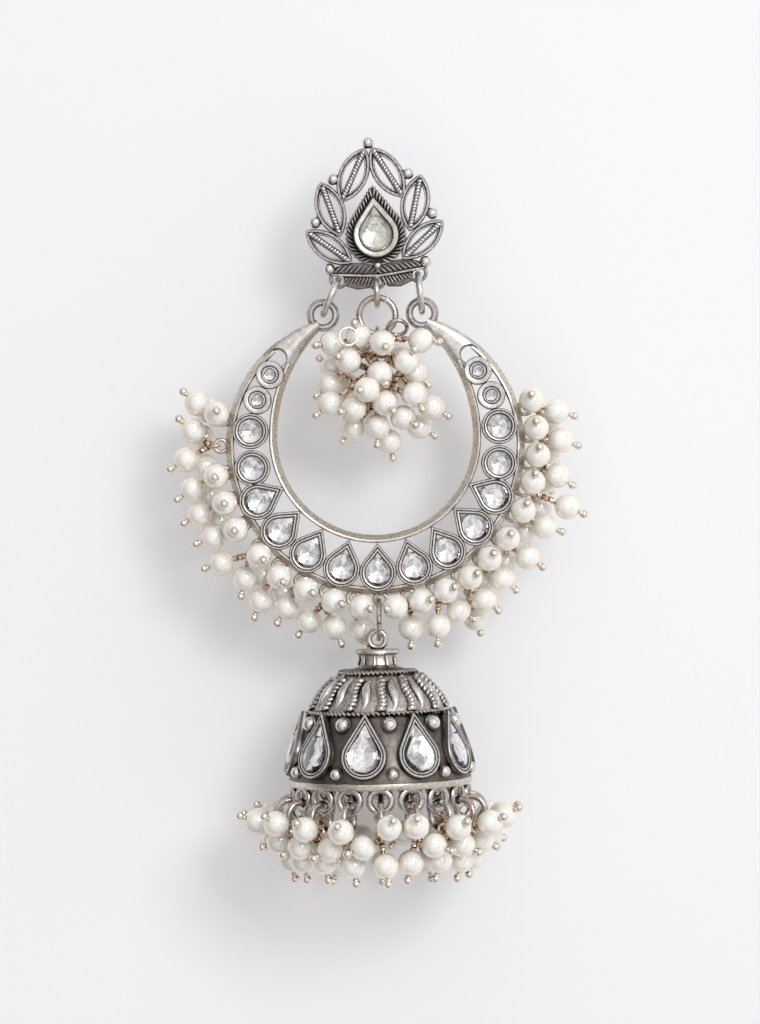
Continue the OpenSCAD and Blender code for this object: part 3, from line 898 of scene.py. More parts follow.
@dataclass(frozen=True)
class StoneShape:
    """Outline of a stone: round where it has no tip."""

    radius: float
    tip: float = 0.0

    def outline(self, grow: float, arc: int = 24, side: int = 5) -> Points:
        """Draws the outline after it has grown.

        Args:
            grow: Distance that it grows by.
            arc: Steps of the round part.
            side: Steps of a straight side.

        Returns:
            Its points.
        """
        radius = self.radius + grow
        if not self.tip:
            return circle(radius, arc + 8)
        return pear(radius, self.tip * radius / self.radius, arc, side)

    @property
    def middle(self) -> Vector:
        """Place that the facets run to."""
        return Vector((0, (self.tip - self.radius) * 0.22 if self.tip else 0.0, 0))


def lifted(points: Points, height: float) -> Points:
    """Gives the points at a height."""
    return [Vector((p.x, p.y, height)) for p in points]


def cut_gem(name: str, shape: StoneShape, low: float, girdle: float, high: float,
            glass: GlassFinish, foil: FoilFinish) -> bpy.types.Object:
    """Cuts a stone with a table, kite facets and a foiled pavilion.

    Args:
        name: Name of the stone.
        shape: Its outline.
        low: Height of its point underneath.
        girdle: Height of its girdle.
        high: Height of its table.
        glass: Finish of the glass.
        foil: Finish of the foil underneath.

    Returns:
        The stone.
    """
    edge = shape.outline(-0.02, 14, 1) if shape.tip else circle(shape.radius - 0.02, 16)
    mid = shape.middle

    def scaled(share: float, height: float, half: bool = False) -> Points:
        """Draws a ring of facet corners around the stone's middle."""
        row = [edge[i].lerp(edge[(i + 1) % len(edge)], 0.5) if half else edge[i] for i in range(len(edge))]
        return [Vector((mid.x + (p.x - mid.x) * share, mid.y + (p.y - mid.y) * share, height)) for p in row]

    crown = high - girdle
    rows = [scaled(0.05, low), scaled(0.5, low + (girdle - low) * 0.42, True), scaled(1.0, girdle - 0.06),
            scaled(1.0, girdle + 0.04), scaled(0.83, girdle + crown * 0.55, True), scaled(0.56, high)]
    stone = loft(name, rows)
    focus(stone)
    bpy.ops.object.mode_set(mode="EDIT")
    bpy.ops.mesh.select_all(action="SELECT")
    bpy.ops.mesh.quads_convert_to_tris(quad_method="SHORTEST_DIAGONAL")
    bpy.ops.object.mode_set(mode="OBJECT")
    Dressing.on(stone, glass, foil)
    for face in stone.data.polygons:
        face.material_index = int(face.center.z < girdle - 0.07)
    return shaded(stone, Shading.FACETED)


# The lip of a setting: share of the wall or of the lap, and drop from the top.
LIP_OUTSIDE = ((1.0, -0.32), (0.90, -0.07), (0.76, 0.0))
LIP_GROOVE = ((0.54, 0.0), (0.48, -0.12), (0.30, -0.12), (0.24, 0.0))
LIP_INSIDE = ((0.25, -0.02), (1.0, -0.16), (0.6, -0.22), (0.0, -0.3))


def bezel(name: str, shape: StoneShape, floor: float, base: float, top: float, wall: float,
          lap: float = 0.22, double: bool = True) -> bpy.types.Object:
    """Raises the setting of a stone: a cup whose lip has a fine groove, darkened under the lip, in the groove
    and inside it as painted shade.

    Args:
        name: Name of the piece.
        shape: Outline of the stone.
        floor: Height of the cup's floor.
        base: Height of its underside.
        top: Height of its lip.
        wall: Width of the wall.
        lap: How far the lip reaches over the stone.
        double: Whether the lip is grooved.

    Returns:
        The setting.
    """
    out = wall + 0.08
    lip = [*LIP_OUTSIDE, *(LIP_GROOVE if double else ()), (0.0, 0.0)]
    levels = [(out, base), (out, top - 0.42)] + [(out * share, top + drop) for share, drop in lip]
    levels += [(-lap * share, top + drop) for share, drop in LIP_INSIDE] + [(0.0, floor)]
    rings = [lifted(shape.outline(grow), height) for grow, height in levels]
    cup = Dressing.on(loft(name, rings), BEZEL_SILVER, DARK_SILVER_AND_PAINTED_SHADE)
    corners = len(rings[0])
    # The underside of the lip's outer roll, the groove and the inner wall down to the stone get the dark
    # finish: painted shade.
    for face in cup.data.polygons:
        step = face.index // corners
        face.material_index = int(step in (1, 2) or step >= len(rings) - 5 or (double and 5 <= step <= 7))
    return shaded(cup, Shading.CRISP)


def set_stone(master: bpy.types.Object, place: Matrix, part: str, number: int) -> None:
    """Copies a cut stone to its seat, as a piece of its own.

    Args:
        master: The cut stone.
        place: Place of the seat.
        part: Name of what carries the stone.
        number: Number of the stone.
    """
    gem = copied(master, place)
    gem.name = gem.data.name = f"{part}_gem_{number:02d}"
    settled(gem, "stone", f"{part}_stone_{number:02d}")


@dataclass(frozen=True)
class Spray:
    """A pin from its loop through a pearl."""

    start: Vector
    seat: Vector

    @property
    def length(self) -> float:
        """Distance from the loop to the middle of the pearl."""
        return (self.seat - self.start).length


@dataclass
class BeadWork:
    """Pearls, headed pins and wire wraps, each modelled once and copied to its places."""

    pearl_r: float = 1.55
    hole_r: float = 0.3
    pin_r: float = 0.18
    head_r: float = 0.525
    gap: float = 0.12
    loop_wire: float = 0.2
    wrap_wire: float = 0.13
    wrap_turns: float = 3.5
    wrap_flare: float = 0.12
    wrap_steps: int = 36
    dimple: tuple = ((0.05, 0.8), (0.5, 0.95))
    dice: random.Random = field(default_factory=lambda: random.Random(7))

    def pearl(self) -> bpy.types.Object:
        """Models one drilled pearl with a dimple at each end of its hole.

        Returns:
            The pearl.
        """
        deselect()
        bpy.ops.mesh.primitive_uv_sphere_add(segments=28, ring_count=18, radius=self.pearl_r)
        piece = bpy.context.active_object
        bpy.ops.object.mode_set(mode="EDIT")
        for side in (-1, 1):
            mesh = bmesh.from_edit_mesh(piece.data)
            for face in mesh.faces:
                middle = face.calc_center_median()
                face.select_set(middle.z * side > 0 and middle.xy.length < self.hole_r)
            bmesh.update_edit_mesh(piece.data)
            bpy.ops.mesh.inset(thickness=0.03)
            for depth, share in self.dimple:
                bpy.ops.mesh.extrude_region_move(TRANSFORM_OT_translate={"value": (0, 0, -side * depth)})
                bpy.ops.transform.resize(value=(share, share, 1), center_override=(0, 0, 0))
        bpy.ops.object.mode_set(mode="OBJECT")
        return dressed(piece, PEARL)

    def head(self) -> bpy.types.Object:
        """Models one pin head: a small ball on a wire collar.

        Returns:
            The head.
        """
        knob = Dressing.on(ball("head", self.head_r), HEAD_SILVER)
        collar = ring("collar", radius=0.3, wire_radius=0.1, sides=6, steps=14)
        moved(collar, shift(0, 0, -self.head_r * 0.82))
        return joined([knob, Dressing.on(collar, HEAD_SILVER)], "head")

    def wrap(self) -> bpy.types.Object:
        """Models one wire wrap about the pin, one millimetre long.

        Returns:
            The wrap.
        """
        line = []
        for i in range(self.wrap_steps + 1):
            share = i / self.wrap_steps
            radius = (self.pin_r + self.wrap_wire) * (1 + self.wrap_flare * (1 - share))
            line.append(polar(radius, 360 * self.wrap_turns * share, share))
        return dressed(wire("wrap", line, self.wrap_wire, sides=0), PIN_WIRE)

    def shank(self) -> bpy.types.Object:
        """Models one millimetre of the pin's wire with a faint waist."""
        rows = [lifted(circle(self.pin_r * width, 8), height)
                for height, width in ((0, 1.0), (0.3, 0.94), (0.7, 0.96), (1, 1.0))]
        return dressed(loft("shank", rows), PIN_WIRE)

    def pearls(self, sprays: Sequence[Spray], name: str, node: str) -> None:
        """Seats a pearl on every pin.

        Args:
            sprays: The pins.
            name: Name of the piece.
            node: Node of the part that the pearls stand for.
        """
        places = []
        dice = self.dice
        for spray in sprays:
            uneven = Matrix.Diagonal((1 - 0.02 * dice.random(), 1 - 0.02 * dice.random(),
                                      1 - 0.03 * dice.random(), 1))
            place = aimed(spray.seat, spray.seat * 2 - spray.start)
            places.append(place @ turn(360 * dice.random()) @ uneven)
        settled(repeated(self.pearl(), places, name), "pearl", node)

    def pins(self, sprays: Sequence[Spray], loops: Sequence[Matrix], loop_r: float, name: str,
             node: str) -> None:
        """Models pins with their heads, wraps and loops.

        Args:
            sprays: The pins.
            loops: Place of each loop, which lies about its own Z axis.
            loop_r: Mean radius of the loops.
            name: Name of the piece.
            node: Node of the part that they stand for.
        """
        shanks, heads, wraps = [], [], []
        for spray in sprays:
            reach = spray.length + self.pearl_r + self.gap + self.head_r
            place = aimed(spray.start, spray.seat)
            shanks.append(place @ Matrix.Diagonal((1, 1, reach, 1)))
            heads.append(place @ shift(0, 0, reach) @ turn(360 * self.dice.random()))
            room = max(0.5, spray.length - self.pearl_r - 0.1)
            wraps.append(place @ turn(360 * self.dice.random()) @ Matrix.Diagonal((1, 1, room, 1)))
        loop = Dressing.on(ring("loop", loop_r, self.loop_wire, sides=8, steps=20), PIN_WIRE)
        parts = [repeated(self.shank(), shanks, "shanks"), repeated(self.head(), heads, "heads"),
                 repeated(self.wrap(), wraps, "wraps"), repeated(loop, loops, "loops")]
        settled(joined(parts, name), "pin_wire", node)


# Stud


@dataclass
class Stud:
    """Leaf crown, ribbed shield, pear stone, base leaves and ear post."""

    turned: float = 4.5
    post_length: float = 11.0
    post_r: float = 0.45
    thick: float = 1.0
    centre: tuple[float, float] = (0.1, -0.9)
    stone: StoneShape = StoneShape(2.15, 3.6)
    plate: StoneShape = StoneShape(3.6, 6.1)
    rib_line: StoneShape = StoneShape(3.15, 5.45)
    rib_step: float = 0.5
    rib_low: float = -3.05
    rib_slant: float = 42.0
    leaves: tuple = ((0.35, 9.7, 3.75, 3.4, 3.5), (6.05, 6.0, 4.15, -0.7, 3.5), (8.3, 0.3, 3.0, -4.0, 3.2))
    granules: tuple = ((0, 10.3), (4.5, 6.25), (-4.5, 6.25), (7.05, 1.25), (-7.05, 1.25), (5.8, -4.5),
                       (-5.8, -4.5))
    eyes: tuple = ((4.75, -5.75), (-4.75, -5.75), (-0.3, -6.25))
    base_upper: tuple = ((0, -5.7), (0.2, -4.5), (1.6, -4.0), (3.4, -3.95), (5.0, -4.3), (5.6, -5.1),
                         (3.2, -5.45))
    base_lower: tuple = ((0, -5.7), (3.2, -5.45), (4.3, -5.4), (3.9, -6.7), (2.6, -7.2), (1.2, -7.1),
                         (0.3, -6.4))
    # A row of veins: its first and last foot, lean, and rise at the first and the last.
    veins: tuple = ((0.35, -5.45, 5.2, -4.95, 0.95, 0.75, 1.0), (0.5, -5.95, 3.7, -5.75, 0.95, -1.1, -0.55))
    vein_count: int = 9
    midrib: tuple = ((0, -5.75, 0.12), (1.8, -5.62, 0.16), (3.6, -5.42, 0.16), (5.6, -5.2, 0.05))

    @property
    def face(self) -> float:
        """Height of the stud's front."""
        return self.post_length + self.thick

    def vesica(self, length: float, width: float, steps: int = 14) -> Points:
        """Draws a leaf outline between two tips on the Y axis.

        Args:
            length: Distance between the tips.
            width: Greatest width.
            steps: Steps of each side.

        Returns:
            Its points.
        """
        radius = (length ** 2 + width ** 2) / (4 * width)
        half = math.degrees(math.asin(length / 2 / radius))
        right = [polar(radius, -half + 2 * half * i / steps) - Vector((radius - width / 2, 0, 0))
                 for i in range(steps + 1)]
        return right + [Vector((-p.x, -p.y, 0)) for p in right[1:-1]]

    def leaf(self, row: Sequence[float]) -> bpy.types.Object:
        """Models one open leaf: flat edge, two rim wires and a twisted rib.

        Args:
            row: Outer tip, inner tip and width.

        Returns:
            The leaf, in its place.
        """
        tip, root = Vector((row[0], row[1], 0)), Vector((row[2], row[3], 0))
        length, width = (tip - root).length, row[4]
        low, top = self.post_length, self.face
        outside, inside = self.vesica(length, width), self.vesica(length - 1.9, width - 1.15)
        band = loft("band", [lifted(outside, low), lifted(outside, top - 0.35), lifted(inside, top - 0.35),
                             lifted(inside, low)], closed=True)
        line = lifted(self.vesica(length - 0.4, width - 0.4), top - 0.28)
        outer = wire("outer", line, radius=0.24, closed=True)
        line = lifted(self.vesica(length - 1.5, width - 1.0), top - 0.26)
        inner = wire("inner", line, radius=0.13, closed=True)
        count = 60
        line = [Vector((0, (length / 2 - 0.5) * (2 * i / count - 1), top - 0.26)) for i in range(count + 1)]
        rib = Dressing.on(rope("rib", line, [UP] * len(line), radius=0.42, turns=length / 0.9), SILVER)
        parts = [Dressing.on(band, LEAF_SILVER), dressed(outer, LEAF_SILVER),
                 dressed(inner, LEAF_SILVER), rib]
        place = Matrix.Translation((tip + root) / 2) @ turn(heading(tip - root) - 90)
        return moved(joined(parts, "leaf"), place)

    def crown(self) -> list[bpy.types.Object]:
        """Models the six leaves, one side from the other by mirror."""
        right = [self.leaf(row) for row in self.leaves]
        return right + [copied(leaf, MIRROR) for leaf in right]

    def balls(self) -> list[bpy.types.Object]:
        """Models the granules and the small ball under the shield.

        Returns:
            All of them as one piece.
        """
        grain = Dressing.on(ball("granule", radius=0.725), GRAIN_SILVER)
        collar = ring("collar", radius=0.55, wire_radius=0.12, sides=6, steps=18)
        Dressing.on(moved(collar, shift(0, 0, -0.42)), SILVER)
        master = joined([grain, collar], "granule")
        places = [shift(x, y, self.face - 0.5) for x, y in self.granules]
        places.append(shift(0, -4.5, self.face) @ Matrix.Scale(0.62, 4))
        return [repeated(master, places, "granules")]

    def shield(self) -> list[bpy.types.Object]:
        """Models the dark plate around the stone and its slanting ribs.

        Returns:
            The plate, the ribs and the edge wire.
        """
        low, top = self.post_length + 0.1, self.face - 0.32
        levels = ((0, low), (0, top - 0.1), (-0.12, top), (-2.6, top))
        rows = [lifted(self.plate.outline(grow), height) for grow, height in levels]
        plate = dressed(loft("shield", rows), DARK_SILVER_AND_PAINTED_SHADE, Shading.CRISP)
        line = self.rib_line.outline(0, 200, 60)
        places, run = [], 0.0
        for i, point in enumerate(line):
            step = line[(i + 1) % len(line)] - point
            run += step.length
            if run > self.rib_step and point.y > self.rib_low:
                run = 0.0
                slant = -self.rib_slant if point.x < 0 else self.rib_slant
                places.append(shift(point.x, point.y, top + 0.07) @ turn(heading(step) + slant))
        rib = wire("rib", [Vector((0, -0.66, 0)), Vector((0, 0, 0.1)), Vector((0, 0.66, 0))],
                   radius=0.17, widths=(0.7, 1.0, 0.7))
        ribs = shaded(repeated(Dressing.on(rib, LEAF_SILVER), places, "ribs"), Shading.SOFT)
        edge = wire("edge", lifted(self.plate.outline(-0.1), top), radius=0.13, closed=True)
        dressed(edge, LEAF_SILVER)
        return [moved(part, shift(*self.centre)) for part in (plate, ribs, edge)]

    def setting(self) -> list[bpy.types.Object]:
        """Models the bezel of the pear stone."""
        cup = bezel("cup", self.stone, floor=self.face - 0.55, base=self.post_length + 0.2,
                    top=self.face + 1.3, wall=0.5, lap=0.14, double=False)
        return [moved(cup, shift(*self.centre))]

    def veined(self, corners: Sequence[tuple[float, float]], name: str) -> bpy.types.Object:
        """Models half of a base leaf as a bevelled plate.

        Args:
            corners: Its outline.
            name: Name of the piece.

        Returns:
            The plate.
        """
        points = [Vector((x, y, 0)) for x, y in corners]
        middle = sum(points, Vector()) / len(points)
        inner = [p.lerp(middle, 0.1) for p in points]
        top = self.face - 0.3
        return Dressing.on(loft(name, [lifted(points, self.post_length), lifted(points, top - 0.1),
                                       lifted(inner, top)]), DARK_SILVER_AND_PAINTED_SHADE)

    def base(self) -> list[bpy.types.Object]:
        """Models the two veined leaves under the shield.

        Returns:
            The right leaf and the left one.
        """
        top = self.face - 0.3
        plates = [self.veined(self.base_upper, "upper"), self.veined(self.base_lower, "lower")]
        veins = []
        for x0, y0, x1, y1, lean, rise, rise_end in self.veins:
            for k in range(self.vein_count):
                share = k / (self.vein_count - 1)
                foot = Vector((x0 + (x1 - x0) * share, y0 + (y1 - y0) * share, top + 0.02))
                height = (rise + (rise_end - rise) * share) * (1 - 0.35 * share ** 3)
                head = foot + Vector((-lean * 0.9 * (1 if rise > 0 else -0.6), height, 0.03))
                line = [foot, foot.lerp(head, 0.5) + Vector((0, 0, 0.07)), head]
                veins.append(dressed(wire("vein", line, radius=0.13, widths=(1, 1, 0.6)), LEAF_SILVER))
        line = [Vector((x, y, top + lift)) for x, y, lift in self.midrib]
        midrib = dressed(wire("midrib", line, radius=0.2, widths=(1.1, 1.0, 1.0, 0.7)), SILVER)
        right = joined([*plates, *veins, midrib], "base_right")
        return [right, copied(right, MIRROR)]

    def eyelets(self) -> list[bpy.types.Object]:
        """Models the three eyes at the back of the base leaves."""
        eye = ring("eye", radius=0.98, wire_radius=0.23, sides=10, steps=32, squeeze=1.6)
        places = [shift(x, y, self.face - 0.62) for x, y in self.eyes]
        return [repeated(Dressing.on(eye, LEAF_SILVER), places, "eyes")]

    def post(self) -> list[bpy.types.Object]:
        """Models the ear post with a rounded tip and the notch that holds its back.

        Returns:
            The post alone.
        """
        r, foot = self.post_r, self.post_length + 0.4
        profile = [(0, 0), (r * 0.55, 0.03), (r * 0.88, 0.16), (r, 0.4), (r, 1.9), (r * 0.8, 2.05),
                   (r * 0.8, 2.35), (r, 2.5), (r, foot - 1.0), (r * 1.25, foot - 0.55),
                   (r * 1.9, foot - 0.3), (r * 1.9, foot), (0, foot)]
        return [dressed(turned_body("post", profile, steps=28), BRIGHT_SILVER, Shading.CRISP)]

    def build(self) -> None:
        """Builds and dresses the stud."""
        parts = [*self.crown(), *self.balls(), *self.shield(), *self.setting(), *self.base(),
                 *self.eyelets(), *self.post()]
        settled(moved(joined(parts, "stud_silver"), turn(self.turned)), "silver", "stud_frame")
        gem = cut_gem("stud_gem", self.stone, low=self.face + 0.3, girdle=self.face + 0.62,
                      high=self.face + 1.45, glass=WARM_GLASS, foil=WARM_FOIL)
        settled(moved(gem, turn(self.turned) @ shift(*self.centre)), "stud_stone", "stud_stone")


# Crescent


@dataclass
class Crescent:
    """Pierced crescent with its bezels, stones, eyes and eyelets, in a frame of its own."""

    place: Matrix = field(default_factory=lambda: shift(0.1, -26.1, 11.7) @ turn(1.2))
    opening_r: float = 11.76
    outer_r: float = 17.94
    drop: float = 1.02
    horn_r: float = 18.16
    shoulder_r: float = 15.9
    horn_angle: float = 39.0
    tip_angle: float = 64.5
    rail_lap: float = 2.5
    rail_section: tuple = ((0.0, -0.72), (0.0, 0.18), (0.1, 0.34), (0.5, 0.7), (0.58, 0.82), (0.66, 0.86),
                           (0.84, 0.86), (0.96, 0.76), (0.96, -0.8), (0.12, -0.85))
    hole_at: tuple[float, float] = (11.53, 10.7)
    hole_r: tuple[float, float] = (0.7, 1.56)
    rise: float = 1.25
    wall: float = 0.46
    stone_up: float = 0.54
    eye_at: tuple[float, float] = (5.95, 15.75)
    eye_section: tuple = ((1.1, -0.6), (1.1, 0.45), (1.2, 0.62), (1.36, 0.72), (1.6, 0.72), (1.82, 0.55),
                          (1.96, 0.2), (1.96, -0.5), (1.8, -0.75), (1.25, -0.75))
    eye_beads: int = 34
    eyelet_r: float = 0.75
    eyelet_wire: float = 0.25
    eyelet_sink: float = 0.15
    eyelet_from: float = 168.8
    eyelet_step: float = 10.2
    eyelet_count: int = 21
    rounds: tuple = ((33.2, 14.9, 1.16), (20.2, 14.95, 1.16), (5.6, 15.0, 1.62), (-11.4, 15.1, 1.62))
    pear_shape: StoneShape = StoneShape(1.7, 2.72)
    pear_ring: float = 15.85

    def seats(self) -> list[tuple[Matrix, StoneShape]]:
        """Gives the place and shape of each stone, from the right horn to the left.

        Returns:
            Place and shape of each seat.
        """
        rows = [(angle, away, StoneShape(radius)) for angle, away, radius in self.rounds]
        rows += [(270 + 16 * k, self.pear_ring, self.pear_shape) for k in range(4, -5, -1)]
        rows += [(180 - angle, away, StoneShape(radius)) for angle, away, radius in reversed(self.rounds)]
        up = Vector((0, self.stone_up, 0))
        return [(Matrix.Translation(polar(away, angle) + up) @ turn(angle + 90), shape)
                for angle, away, shape in rows]

    def inner_at(self, angle: float) -> float:
        """Gives the opening's radius at an angle, from the opening's centre.

        Args:
            angle: The angle.

        Returns:
            The radius.
        """
        if math.sin(math.radians(angle)) < 0:
            return self.opening_r
        side = abs(math.cos(math.radians(angle))) * (self.horn_r - self.opening_r)
        return -side + math.sqrt(side ** 2 + self.horn_r ** 2 - (self.horn_r - self.opening_r) ** 2)

    def outer_at(self, angle: float) -> float:
        """Gives the outer edge's radius at an angle, from the opening's centre.

        Args:
            angle: The angle.

        Returns:
            The radius.
        """
        up, side = math.sin(math.radians(angle)), abs(math.cos(math.radians(angle)))
        lean = self.drop * up
        away = -lean + math.sqrt(lean ** 2 + self.outer_r ** 2 - self.drop ** 2)
        if self.drop + away * up < 0:
            return away
        move = self.outer_r - self.shoulder_r
        lean = self.drop * up - move * side
        return -lean + math.sqrt(lean ** 2 + self.shoulder_r ** 2 - move ** 2 - self.drop ** 2)

    def section(self, angle: float, outline: Sequence[tuple[float, float]], outer: bool) -> Points:
        """Places a rail's section at an angle.

        Args:
            angle: The angle.
            outline: Distance into the metal and height of each corner.
            outer: Whether it is the outer rail.

        Returns:
            Its points.
        """
        edge = self.outer_at(angle) if outer else self.inner_at(angle)
        way = -1 if outer else 1
        return [polar(edge + way * depth, angle, height) + Vector((0, self.drop, 0))
                for depth, height in outline]

    def rails(self) -> list[bpy.types.Object]:
        """Models the two rails: bright lips with warm sloping walls, the walls darker as painted shade.

        Returns:
            The outer rail and the inner one.
        """
        steps = 96
        first = self.horn_angle + self.rail_lap
        angles = [first - (180 + 2 * first) * i / steps for i in range(steps + 1)]
        parts = []
        for outer in (True, False):
            rail = loft("rail", [self.section(angle, self.rail_section, outer) for angle in angles])
            Dressing.on(rail, BRIGHT_SILVER, WARM_SILVER_AND_PAINTED_SHADE)
            # Every face that slopes gets the warm finish: a warm tint, darkened as painted shade.
            for face in rail.data.polygons:
                face.material_index = int(face.normal.z < 0.9)
            parts.append(shaded(rail, Shading.CRISP))
        return parts

    def horn(self) -> bpy.types.Object:
        """Models the right horn: half round, lighter on its upward faces and warm and darker on its sloping
        ones as painted light and shade, and holed where the stones begin.

        Returns:
            The horn.
        """
        crest = [(0, 0.05)] + [(0.5 - 0.5 * math.cos(math.pi * k / 10),
                                0.1 + 0.82 * math.sin(math.pi * k / 10) ** 0.8) for k in range(1, 10)]
        crest += [(1, 0.05), (1, -0.7), (0.93, -0.82), (0.07, -0.82), (0, -0.7)]
        steps = 30
        first = self.horn_angle - 1.5
        rows = []
        for i in range(steps + 1):
            angle = first + (self.tip_angle - first) * i / steps
            near, far = self.inner_at(angle), self.outer_at(angle)
            rows.append([polar(near + (far - near) * u ** 0.85, angle, h) + Vector((0, self.drop, 0))
                         for u, h in crest])
        body = loft("horn", rows)
        self.drill(body)
        Dressing.on(body, BRIGHT_SILVER, WARM_SILVER_AND_PAINTED_SHADE, DARK_SILVER_AND_PAINTED_SHADE)
        # The hole's wall gets the dark finish as painted shade; faces that slope away from the top get the
        # warm finish, a warm tint darkened as painted shade.
        for face in body.data.polygons:
            hole_wall_shade = (face.center.xy - Vector(self.hole_at)).length < 1.3 and face.normal.z < 0.5
            face.material_index = 2 if hole_wall_shade else int(face.normal.z < 0.6)
        return shaded(body, Shading.CRISP)

    def drill(self, horn: bpy.types.Object) -> None:
        """Cuts the tapered hole of a horn.

        Args:
            horn: The horn.
        """
        deselect()
        low_r, high_r = self.hole_r
        bpy.ops.mesh.primitive_cone_add(vertices=32, radius1=low_r, radius2=high_r, depth=6,
                                        location=(*self.hole_at, 0))
        cone = bpy.context.active_object
        focus(horn)
        cut = horn.modifiers.new("hole", "BOOLEAN")
        cut.operation = "DIFFERENCE"
        cut.object = cone
        bpy.ops.object.modifier_apply(modifier=cut.name)
        bpy.data.objects.remove(cone)

    def eye(self) -> bpy.types.Object:
        """Models the right eye: a thick round eye with a beaded edge.

        Returns:
            The eye.
        """
        body = dressed(turned_body("eye", self.eye_section, steps=40), SILVER, Shading.CRISP)
        bead = Dressing.on(ball("bead", radius=0.16, segments=8), SILVER)
        places = [Matrix.Translation(polar(1.86, 360 * i / self.eye_beads, 0.42))
                  for i in range(self.eye_beads)]
        return moved(joined([body, repeated(bead, places, "beads")], "eye"), shift(*self.eye_at))

    def eyelets(self) -> bpy.types.Object:
        """Models the eyelets of the pearl pins.

        Returns:
            The eyelets as one piece.
        """
        loop = ring("eyelet", self.eyelet_r, self.eyelet_wire, sides=8, steps=20)
        Dressing.on(loop, WARM_SILVER_AND_PAINTED_SHADE)
        away = self.outer_r + self.eyelet_r - self.eyelet_sink
        places = [Matrix.Translation(polar(away, self.eyelet_angle(k))) for k in range(self.eyelet_count)]
        return repeated(loop, places, "eyelets")

    def eyelet_angle(self, number: int) -> float:
        """Gives the angle of an eyelet."""
        return self.eyelet_from + number * self.eyelet_step

    def build(self) -> None:
        """Builds and dresses the crescent and its stones."""
        cups = {}
        parts = self.rails()
        for side in (self.horn(), self.eye()):
            parts += [side, copied(side, MIRROR)]
        parts.append(self.eyelets())
        gems = {}
        for number, (place, shape) in enumerate(self.seats(), 1):
            if shape not in cups:
                grooved = shape.radius > 1.4
                cups[shape] = bezel("cup", shape, floor=-0.32, base=-0.5, top=self.rise, wall=self.wall,
                                    lap=0.2, double=grooved)
                gems[shape] = cut_gem("gem", shape, low=0.4, girdle=0.72, high=1.3, glass=CLEAR_GLASS,
                                      foil=CLEAR_FOIL)
            parts.append(copied(cups[shape], place))
            set_stone(gems[shape], self.place @ place, "crescent", number)
        for master in list(cups.values()) + list(gems.values()):
            bpy.data.objects.remove(master)
        settled(moved(joined(parts, "crescent_silver"), self.place), "silver", "crescent_frame")


@dataclass
class PearlBorder:
    """Sprays of pearls around the crescent. A row for each eyelet, and in it turn, distance and height."""

    crescent: Crescent
    beads: BeadWork
    loop_r: float = 0.57
    chart: tuple = (
        ((-1, 0, 2.8), (-3.2, 2.7, 0.1), (-2, 1.4, -3.0)),
        ((-4.7, 2.7, 0.5), (4.2, 3.5, 0.1), (-3, 1.5, -2.7)),
        ((0.6, 0.1, 2.8), (3.1, 3.3, 0.5), (-3.4, 1.4, -2.3)),
        ((0.4, 0, 2.8), (0.9, 3.4, -0.2), (-4, 1.7, -2.7)),
        ((0.4, 0.2, 2.8), (-1.2, 3.1, 0.5), (-5, 1.7, -2.7)),
        ((2.5, -0.1, 2.8), (-3.6, 4.0, -0.2), (4.6, 3.1, 0.2)),
        ((2.6, 0.2, 2.8), (2.4, 3.9, -0.3), (-2.2, 1.6, -2.7)),
        ((3, -0.1, 2.8), (-0.2, 2.9, 0.3), (-3.4, 1.7, -2.8)),
        ((3.4, 0, 2.8), (-2.4, 3.3, -0.9), (5.6, 3.1, 0.3)),
        ((3.4, 0.1, 2.8), (3.8, 2.8, -1.2), (5.2, 3.4, -4.4)),
        (),
        ((4.2, 0.1, 2.8), (-5.1, 0.1, 3.6), (-1.2, 3.0, -0.2)),
        ((3.6, 0, 2.8), (-3.2, 3.6, 0.7), (4.4, 2.9, -0.4)),
        ((3.1, 0.1, 2.8), (2.6, 3.4, 0.5), (-2.4, 4.9, -3.1)),
        ((2.4, -0.1, 2.8), (0.8, 2.8, 0), (-3.8, 1.7, -2.7)),
        ((1.9, 0, 2.8), (0.6, 3.4, 0.4), (-4.5, 1.8, -2.7)),
        ((3, 0, 2.8), (1.2, 3.3, -0.2), (-2.9, 1.5, -2.7)),
        ((3.4, 0, 2.8), (-1.2, 4.9, 0.4), (-3.9, 1.9, -2.6)),
        ((2.9, 0.1, 2.8), (-3, 2.9, 0.2), (-5, 1.7, -2.8)),
        ((2.3, 0, 2.8), (-2.3, 3.0, 0), (-5.8, 1.7, -2.8)),
        ((2, 0.1, 2.8), (-3.4, 2.9, 0.3), (-6.5, 1.7, -2.7)),
    )

    def sprays(self, rows: Iterable[int]) -> tuple[list[Spray], list[Matrix]]:
        """Works out the pins and loops of some eyelets.

        Args:
            rows: Numbers of the eyelets.

        Returns:
            The pins and the places of the loops.
        """
        crescent = self.crescent
        away = crescent.outer_r + 2 * crescent.eyelet_r - crescent.eyelet_sink
        sprays, loops = [], []
        for k in rows:
            angle = crescent.eyelet_angle(k)
            loops.append(crescent.place @ Matrix.Translation(polar(away, angle)) @ turn(angle)
                         @ turn(90, "X"))
            for swing, out, height in self.chart[k]:
                rise = Vector((max(out, 0.05), height)).normalized() * self.loop_r
                start = polar(away + rise.x, angle, rise.y)
                seat = polar(away + out, angle + swing, height)
                sprays.append(Spray(crescent.place @ start, crescent.place @ seat))
        return sprays, loops

    def build(self) -> None:
        """Builds both sides of the border."""
        for side, rows in (("left", range(0, 10)), ("right", range(11, 21))):
            sprays, loops = self.sprays(rows)
            self.beads.pearls(sprays, f"border_pearls_{side}", f"rim_pearls_{side}")
            self.beads.pins(sprays, loops, self.loop_r, f"border_pins_{side}", f"rim_pins_{side}")


# Rings and cluster


